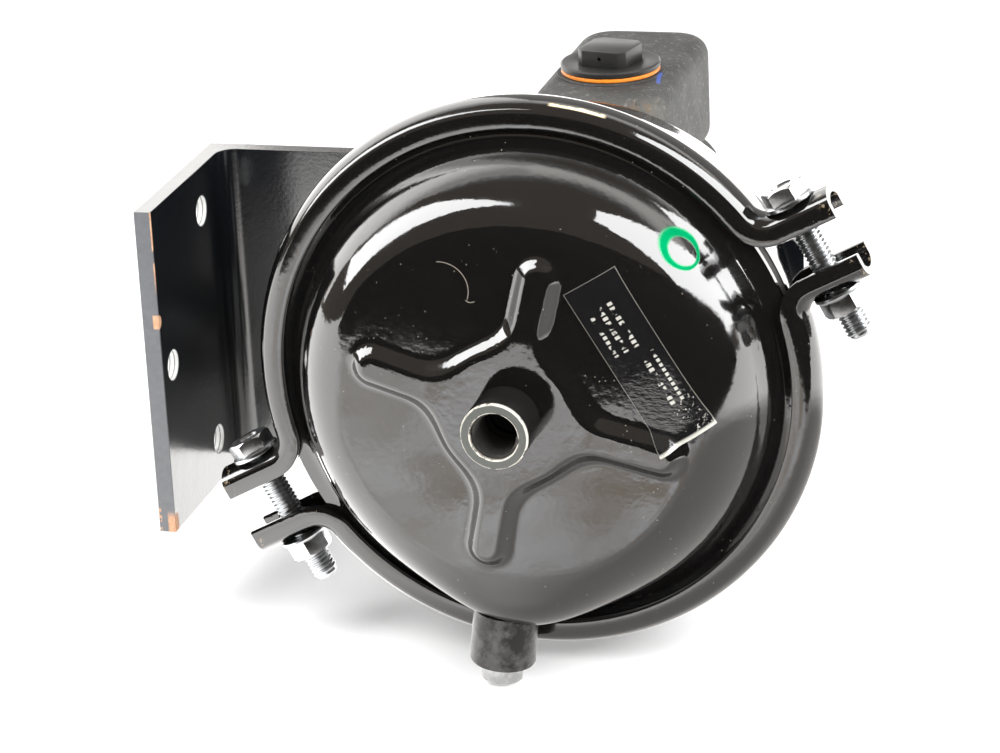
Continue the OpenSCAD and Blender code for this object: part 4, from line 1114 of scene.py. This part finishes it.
# ==== Bracket ====
class ACTUATOR_OT_bracket(bpy.types.Operator):
    """Draws the bracket's angle section, draws it up, cuts its corners and bores its holes"""
    bl_idname = "actuator.bracket"
    bl_label = "Bracket"

    def execute(self, context):
        x0, x1 = BRACKET_X
        y0, y1 = BRACKET_Y
        z0, z1 = BRACKET_Z
        t = PLATE
        outline = [(x0, y0), (x0 + t, y0)] + arc((x0 + t + FILLET, y1 - t - FILLET), FILLET, 180, 90, 8)
        outline += [(x1, y1 - t), (x1, y1)] + arc((x0 + 1.5, y1 - 1.5), 1.5, 90, 180, 3)
        obj = prism("bracket_angle", [at(x, y, z0) for x, y in outline], z1 - z0)
        for sign, edge in ((1, z1), (-1, z0)):
            edit(obj, "FACE")
            bpy.ops.mesh.bisect(plane_co=at(x1 - BACK_CUT, y1, edge), plane_no=Vector((1, 0, sign)).normalized(),
                                use_fill=True, clear_outer=True)
            leave_edit()
        for y, z in MOUNT_HOLES:
            drill(obj, 5.55, at(x0 - 5, y, z), at(x0 + t + 5, y, z), 64)
        for x, radius, sides in ((0, 22.05, 96), (-STUD_AT, 8.4, 64), (STUD_AT, 8.4, 64)):
            drill(obj, radius, at(x, y1 - t - 5, 0), at(x, y1 + 5, 0), sides)
        round_edges(obj, 0.55, 2, 40)
        smooth(obj, 30)
        use(obj, "WEIGHTED_NORMAL", keep_sharp=True)
        dress(obj, "bracket_paint", "bracket")
        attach(obj, BODY)
        return {"FINISHED"}


# ==== Casting, cap and seal ====
class ACTUATOR_OT_casting(bpy.types.Operator):
    """Builds the casting from its solid forms, softens their joints and roughens it"""
    bl_idname = "actuator.casting"
    bl_label = "Casting"

    def execute(self, context):
        y_end = CASTING_Y[1]
        y_flange = CASTING_Y[0] + FLANGE
        low, top = RES_Z
        res = block("casting_body", at(RES_X[0], RES_Y[0], low), at(RES_X[1], RES_Y[1], top))
        bevel_along(res, 2, 14.0, 8)
        round_edges(res, 7.0, 5, 50)
        forms = [
            res,
            block("pedestal", at(-16, RES_Y[0] + 12, 0), at(16, RES_Y[1] - 12, low + 9)),
            rod("pilot", 22.0, at(0, CASTING_Y[0], 0), at(0, y_flange + 2, 0), 64),
            turned_part("barrel", [(0, y_flange), (22.9, y_flange), (22.9, 180), (18.9, y_end - 4), (0, y_end - 4)],
                        at(0, 0, 0), BACK),
            rod("nose", 10.5, at(0, y_end - 8, 0), at(0, y_end, 0)),
            rod("bleed_boss", 7.0, at(0, BLEED_Y, 10), at(0, BLEED_Y, 26.8), 40)]
        for x, radius, sides in ((0, 28.8, 64), (-STUD_AT, 16.9, 48), (STUD_AT, 16.9, 48)):
            forms.append(rod("flange", radius, at(x, y_flange, 0), at(x, y_flange + FLANGE_T, 0), sides))
        forms.append(block("web", at(-STUD_AT, y_flange, -13.9), at(STUD_AT, y_flange + FLANGE_T, 13.9)))
        obj = join(forms, "casting_piece")
        use(obj, "REMESH", mode="VOXEL", voxel_size=1.15 * MM, adaptivity=0.0)
        use(obj, "SMOOTH", factor=0.5, iterations=4)
        bore_y = span("piston", 1)[0]
        for radius, start, end in ((5.5, y_end - 9, y_end + 5), (4.3, BORE_END - 5, y_end),
                                   (15.9, bore_y - 0.3, BORE_END), (18.1, CASTING_Y[0] - 5, bore_y - 0.3)):
            drill(obj, radius, at(0, start, 0), at(0, end, 0), 64)
        drill(obj, 15.3, at(CAP_MID_X, CAP_MID_Y, low + 10), at(CAP_MID_X, CAP_MID_Y, SEAL_Z[0] + 5), 64)
        for x in (-STUD_AT, STUD_AT):
            drill(obj, 8.5, at(x, 70, 0), at(x, 115, 0), 64)
        wall = RES_WALL
        tank = block("tank_cutter", at(RES_X[0] + wall, RES_Y[0] + wall, low + wall),
                     at(RES_X[1] - wall, RES_Y[1] - wall, top - wall))
        bevel_along(tank, 2, 10.0, 6)
        carve(obj, tank)
        finish_piece(obj, 60, "casting", "cylinder_casting", "reservoir_casting")
        seat = SEAL_Z[0]
        neck = turned_part("filler_neck", [
            (15.3, top - 4.0), (20.4, top - 4.0), (20.4, seat - 0.2), (20.2, seat), (15.3, seat), (15.3, top - 4.0)],
            at(CAP_MID_X, CAP_MID_Y, 0), UP, 80)
        finish_piece(neck, 30, "casting")
        return {"FINISHED"}


class ACTUATOR_OT_filler_cap(bpy.types.Operator):
    """Turns the filler cap's disc and stem, and shapes its square head and vent"""
    bl_idname = "actuator.filler_cap"
    bl_label = "Filler cap"

    def execute(self, context):
        foot = at(CAP_MID_X, CAP_MID_Y, 0)
        stem, head_top = CAP_Z
        low, top = SEAL_Z[1], SEAL_Z[1] + 2.2
        disc = turned_part("cap_disc", [
            (0, stem + 3), (11.9, stem + 3), (11.9, stem), (14.9, stem), (14.9, low), (18.7, low), (19.0, low + 0.4),
            (19.0, top - 0.5), (18.4, top), (13.0, top), (12.4, top - 0.3), (0, top - 0.3)], foot, UP, 96)
        half, cut = CAP_HALF, CAP_HALF - CAP_CUT
        corners = [(-cut, -half), (cut, -half), (half, -cut), (half, cut),
                   (cut, half), (-cut, half), (-half, cut), (-half, -cut)]
        head = prism("cap_head", [Vector((x, y, top - 0.6)) * MM for x, y in corners], head_top - top + 0.6)
        round_edges(head, 0.35, 2, 30)
        vent_z = (top + head_top) / 2
        drill(head, 0.75, Vector((0, -20, vent_z)) * MM, Vector((0, -6, vent_z)) * MM, 24)
        head.data.transform(Matrix.Translation(foot) @ Matrix.Rotation(math.radians(CAP_TURN), 4, "Z"))
        finish_piece(join([disc, head], "filler_cap_piece"), 30, "cap_plastic", "filler_cap", body=CAP_BODY)
        low, top = SEAL_Z
        seal = turned_part("cap_seal_ring", [
            (15.1, low + 0.1), (18.3, low + 0.05), (18.8, low + 0.5), (18.8, top - 0.5), (18.3, top - 0.05),
            (15.1, top - 0.1), (15.1, low + 0.1)], foot, UP, 96)
        finish_piece(seal, 40, "seal_orange", "cap_seal", body=SEAL_BODY)
        return {"FINISHED"}


# ==== Sticker, springs and what keeps its CAD shape ====
class ACTUATOR_OT_sticker(bpy.types.Operator):
    """Lays the sticker over the face and the shoulder, with its lower end lifting"""
    bl_idname = "actuator.sticker"
    bl_label = "Sticker"

    def execute(self, context):
        clear_selection()
        bpy.ops.mesh.primitive_grid_add(x_subdivisions=40, y_subdivisions=96, size=1)
        obj = named("sticker_sheet")
        settings = context.scene.actuator_housing
        a = math.radians(LABEL_TURN)
        lifting = 5.0
        for vertex in obj.data.vertices:
            across = LABEL_OUT + vertex.co.x * LABEL_W
            along = LABEL_ALONG + vertex.co.y * LABEL_LEN
            x = across * math.cos(a) - along * math.sin(a)
            z = across * math.sin(a) + along * math.cos(a)
            depth = face_depth(math.hypot(x, z)) + star_height(x, z, settings)
            share = max(0.0, (LABEL_ALONG - LABEL_LEN * 0.5 + lifting - along) / lifting)
            vertex.co = at(x, -depth - (0.12 + 1.4 * share ** 2), z)
        use(obj, "SOLIDIFY", thickness=0.15 * MM, offset=1.0)
        finish_piece(obj, 50, "sticker", "label")
        return {"FINISHED"}


def coil(wire, turns, node):
    """A coil spring wound to fill its CAD node's length."""
    low, high = span(node, 1)
    mean = span(node, 0)[1] - wire / 2
    clear_selection()
    bpy.ops.mesh.primitive_circle_add(vertices=12, radius=wire / 2 * MM, location=(mean * MM, 0, 0),
                                      rotation=(math.pi / 2, 0, 0))
    obj = settle(named(node + "_coil"))
    use(obj, "SCREW", angle=2 * math.pi * turns, screw_offset=(high - low - wire) * MM, iterations=1,
        steps=48 * turns, render_steps=48 * turns, axis="Z", use_normal_calculate=True)
    close_ends(obj)
    obj.data.transform(Matrix.Translation(at(0, low + wire / 2, 0)) @ Matrix.Rotation(-math.pi / 2, 4, "X"))
    finish_piece(obj, 50, "spring_steel", node)
    stroke = max(abs(v) for v in ROD_JOINT["range_m"]) / MM
    1 - stroke / (high - low)
    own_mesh(obj)


class ACTUATOR_OT_soft_parts(bpy.types.Operator):
    """Winds both springs and moulds the diaphragm"""
    bl_idname = "actuator.soft_parts"
    bl_label = "Springs and diaphragm"

    def execute(self, context):
        coil(4.6, 6, "return_spring")
        coil(1.8, 7, "piston_spring")
        front = -span("diaphragm", 1)[0]
        flat = front - 3.0
        profile = [(0, flat), (55, flat), (58.5, flat - 1.2), (62, flat - 4.5), (77.3, -1.0), (79.4, -1.5),
                   (84.4, -1.5), (84.4, -3.0), (95.7, -3.0), (95.7, 3.0), (84.4, 3.0), (84.4, 1.5), (81.6, 2.0),
                   (80.4, 3.2), (64.6, front - 5.6), (61.0, front - 1.6), (57, front), (0, front)]
        obj = chamber_form("diaphragm_sheet", profile, 96)
        use(obj, "SUBSURF", subdivision_type="SIMPLE", levels=1, render_levels=1)
        smooth(obj, 40)
        dress(obj, "rubber", "diaphragm")
        at(0, -flat, 0)
        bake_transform(obj)
        return {"FINISHED"}


class ACTUATOR_OT_kept_parts(bpy.types.Operator):
    """Gives every CAD node its material"""
    bl_idname = "actuator.kept_parts"
    bl_label = "Kept parts"

    def execute(self, context):
        slots = {row["node"]: row["material_slot"] for row in frame["record"]["subparts"]}
        for node, obj in frame["nodes"].items():
            obj.data.materials.clear()
            obj.data.materials.append(paint(slots[node]))
        return {"FINISHED"}


# ==== Stage ====
def lamp(name, power, place, target):
    """A square soft lamp aimed at a point."""
    clear_selection()
    bpy.ops.object.light_add(type="AREA", location=place)
    obj = named(name)
    obj.data.shape = "RECTANGLE"
    obj.data.size = obj.data.size_y = 0.5
    obj.data.energy = power
    obj.visible_glossy = False
    obj.rotation_euler = (target - place).to_track_quat("-Z", "Y").to_euler()


def card(name, centre, width, height, turned, lean, colour, strength, fades=(), top=1.0, foot=1.0):
    """A flat studio card that shows only in reflections.

    It stands at centre, turned about the upright from facing along Y, and leans within its own plane. Each of
    fades is (from height, to height, share of the light left above). Its top's width is the share top of its
    middle's, and the side of its foot that lies along X before it is turned is drawn in to the share foot.
    """
    clear_selection()
    bpy.ops.mesh.primitive_grid_add(x_subdivisions=1, y_subdivisions=10, size=1)
    obj = named(name)
    for vertex in obj.data.vertices:
        up = vertex.co.y + 0.5
        vertex.co.x *= 1.0 + (top - 1.0) * up
        if vertex.co.x > 0:
            vertex.co.x *= min(1.0, foot + (1.0 - foot) * up / 0.2)
    obj.data.transform(Matrix.Translation(centre) @ Matrix.Rotation(turned, 4, "Z")
                       @ Matrix.Rotation(math.pi / 2, 4, "X") @ Matrix.Rotation(lean, 4, "Z")
                       @ Matrix.Diagonal((width, height, 1, 1)))
    s = Sheet(name + "_light")
    z = s.axes()[2]
    for low, high, share in fades:
        colour = s.mix(z.step(low, high), colour, tuple(c * share for c in (1.0, 0.97, 0.93)))
    obj.data.materials.append(s.show(s.shader("Emission", Color=colour, Strength=strength)))
    obj.visible_camera = obj.visible_diffuse = obj.visible_transmission = obj.visible_shadow = False


def lay_floor(settings):
    """A pale paper floor, which glows a little for the camera and has its own clouded light in reflections, with
    painted shadows in that light before and under the object.
    """
    clear_selection()
    bpy.ops.mesh.primitive_plane_add(size=12.0, location=(AXIS_X, RIM_Y, CAD_BOX[0].z - 0.001))
    floor = named("floor")
    s = Sheet("floor_paper")
    rays = s.node("ShaderNodeLightPath").outputs
    x, y, _ = s.axes()
    # painted shadows in the floor's reflected light: dim and clouded before the object, darker still under it
    front_shadow = far(x, y + 350.0).step(460, 230)
    under = far(x, y - 60.0).step(290, 150)
    cloudy = s.mix(s.noise(0.014, 5.0, 0.7).step(0.36, 0.62), (0.92, 0.93, 0.96), (0.42, 0.365, 0.30))
    cloudy = s.mix(under, s.mix(front_shadow, (1.0, 0.99, 0.97), cloudy), (0.27, 0.26, 0.25))
    matt = s.shader("BsdfDiffuse", Color=tuple(settings.floor_colour))
    glow = s.shader("Emission", Color=(1.0, 1.0, 1.0), Strength=settings.floor_glow)
    both = s.node("ShaderNodeAddShader", None, {0: matt, 1: glow}).outputs[0]
    mirrored = s.shader("Emission", Color=cloudy, Strength=settings.floor_gloss)
    seen = s.either(rays["Is Glossy Ray"], s.either(rays["Is Camera Ray"], matt, both), mirrored)
    floor.data.materials.append(s.show(seen))


def light_room(scene, fill):
    """White for the camera, dim and warm in reflections, and even light for everything else."""
    room = Tree(bpy.data.worlds.new("studio"))
    scene.world = room.owner
    rays = room.node("ShaderNodeLightPath").outputs
    white = (1.0, 1.0, 1.0)
    shader = room.shader("Background", Color=white, Strength=fill)
    for ray, shade in (("Is Camera Ray", white), ("Is Glossy Ray", (0.30, 0.26, 0.22))):
        shader = room.either(rays[ray], shader, room.shader("Background", Color=shade))
    room.node("ShaderNodeOutputWorld", None, {"Surface": shader})


class ACTUATOR_OT_stage(bpy.types.Operator):
    """Lays the pale floor, hangs the lamps and cards and sets the camera"""
    bl_idname = "actuator.stage"
    bl_label = "Stage"

    def execute(self, context):
        settings = context.scene.actuator_stage
        lay_floor(settings)
        pale, bright, dark = (1.0, 0.985, 0.96), (1.0, 1.0, 1.0), (0.10, 0.08, 0.06)
        quarter = math.pi / 2
        card("left_box", at(-1200, -734, 2870), 0.77, 5.33, quarter, math.radians(18.8), bright, settings.softbox,
             top=0.35, foot=0.25)
        card("right_box", at(1200, -120, 1800), 0.84, 3.40, quarter, math.radians(11.3), bright, settings.softbox)
        card("backdrop", at(0, 1500, 2900), 8.0, 6.0, 0.0, 0.0, pale, settings.gloss,
             ((200, 400, 0.16), (2250, 2650, 0.62), (3200, 5200, 0.10)))
        card("left_wall", at(-2800, 1400, 1880), 4.4, 3.6, 0.0, 0.0, pale, settings.gloss * 0.85,
             ((1900, 3300, 0.45),))
        card("dark_board", at(0, -295, 80), 3.2, 0.36, math.atan(0.44), 0.0, dark, 0.3)
        light_room(context.scene, settings.fill)
        face = at(0, -FACE_AT, 0)
        lamp("right_softbox", 16.0, at(750, -500, 650), face)
        lamp("left_softbox", 10.0, at(-500, -500, 800), face)

        target = at(-14.0, 0, -1.87)
        a, e = settings.azimuth, settings.elevation
        back = Vector((math.sin(a) * math.cos(e), -math.cos(a) * math.cos(e), math.sin(e)))
        clear_selection()
        bpy.ops.object.camera_add(location=target + back * settings.distance)
        camera = bpy.context.object
        camera.rotation_mode = "QUATERNION"
        camera.rotation_quaternion = ((-back).to_track_quat("-Z", "Y").to_matrix()
                                      @ Matrix.Rotation(settings.roll, 3, "Z")).to_quaternion()
        camera.data.lens = settings.lens
        camera.data.sensor_width = 36.0
        camera.data.clip_start, camera.data.clip_end = 0.05, 50.0
        context.scene.camera = camera
        context.scene.view_settings.view_transform = "Standard"
        return {"FINISHED"}


class ACTUATOR_PT_panel(bpy.types.Panel):
    """Lists the builder's operators"""
    bl_idname = "ACTUATOR_PT_panel"
    bl_label = "Brake Actuator"
    bl_space_type = "VIEW_3D"
    bl_region_type = "UI"
    bl_category = "Actuator"

    def draw(self, context):
        for operator in OPERATORS:
            self.layout.operator(operator.bl_idname)


OPERATORS = (ACTUATOR_OT_kept_parts, ACTUATOR_OT_soft_parts, ACTUATOR_OT_front_housing,
             ACTUATOR_OT_rear_housing, ACTUATOR_OT_clamp, ACTUATOR_OT_clamp_fasteners, ACTUATOR_OT_ports,
             ACTUATOR_OT_bracket, ACTUATOR_OT_casting, ACTUATOR_OT_filler_cap, ACTUATOR_OT_sticker,
             ACTUATOR_OT_stage)
SETTINGS = {"actuator_housing": HousingSettings, "actuator_clamp": ClampSettings,
            "actuator_fasteners": FastenerSettings, "actuator_stage": StageSettings}
CLASSES = (*SETTINGS.values(), *OPERATORS, ACTUATOR_PT_panel)


def register():
    for cls in CLASSES:
        bpy.utils.register_class(cls)
    for name, cls in SETTINGS.items():
        setattr(bpy.types.Scene, name, bpy.props.PointerProperty(type=cls))


def unregister():
    for name in SETTINGS:
        delattr(bpy.types.Scene, name)
    for cls in reversed(CLASSES):
        bpy.utils.unregister_class(cls)


def main():
    register()
    for operator in OPERATORS:
        group, name = operator.bl_idname.split(".")
        getattr(getattr(bpy.ops, group), name)()


if __name__ == "__main__":
    main()
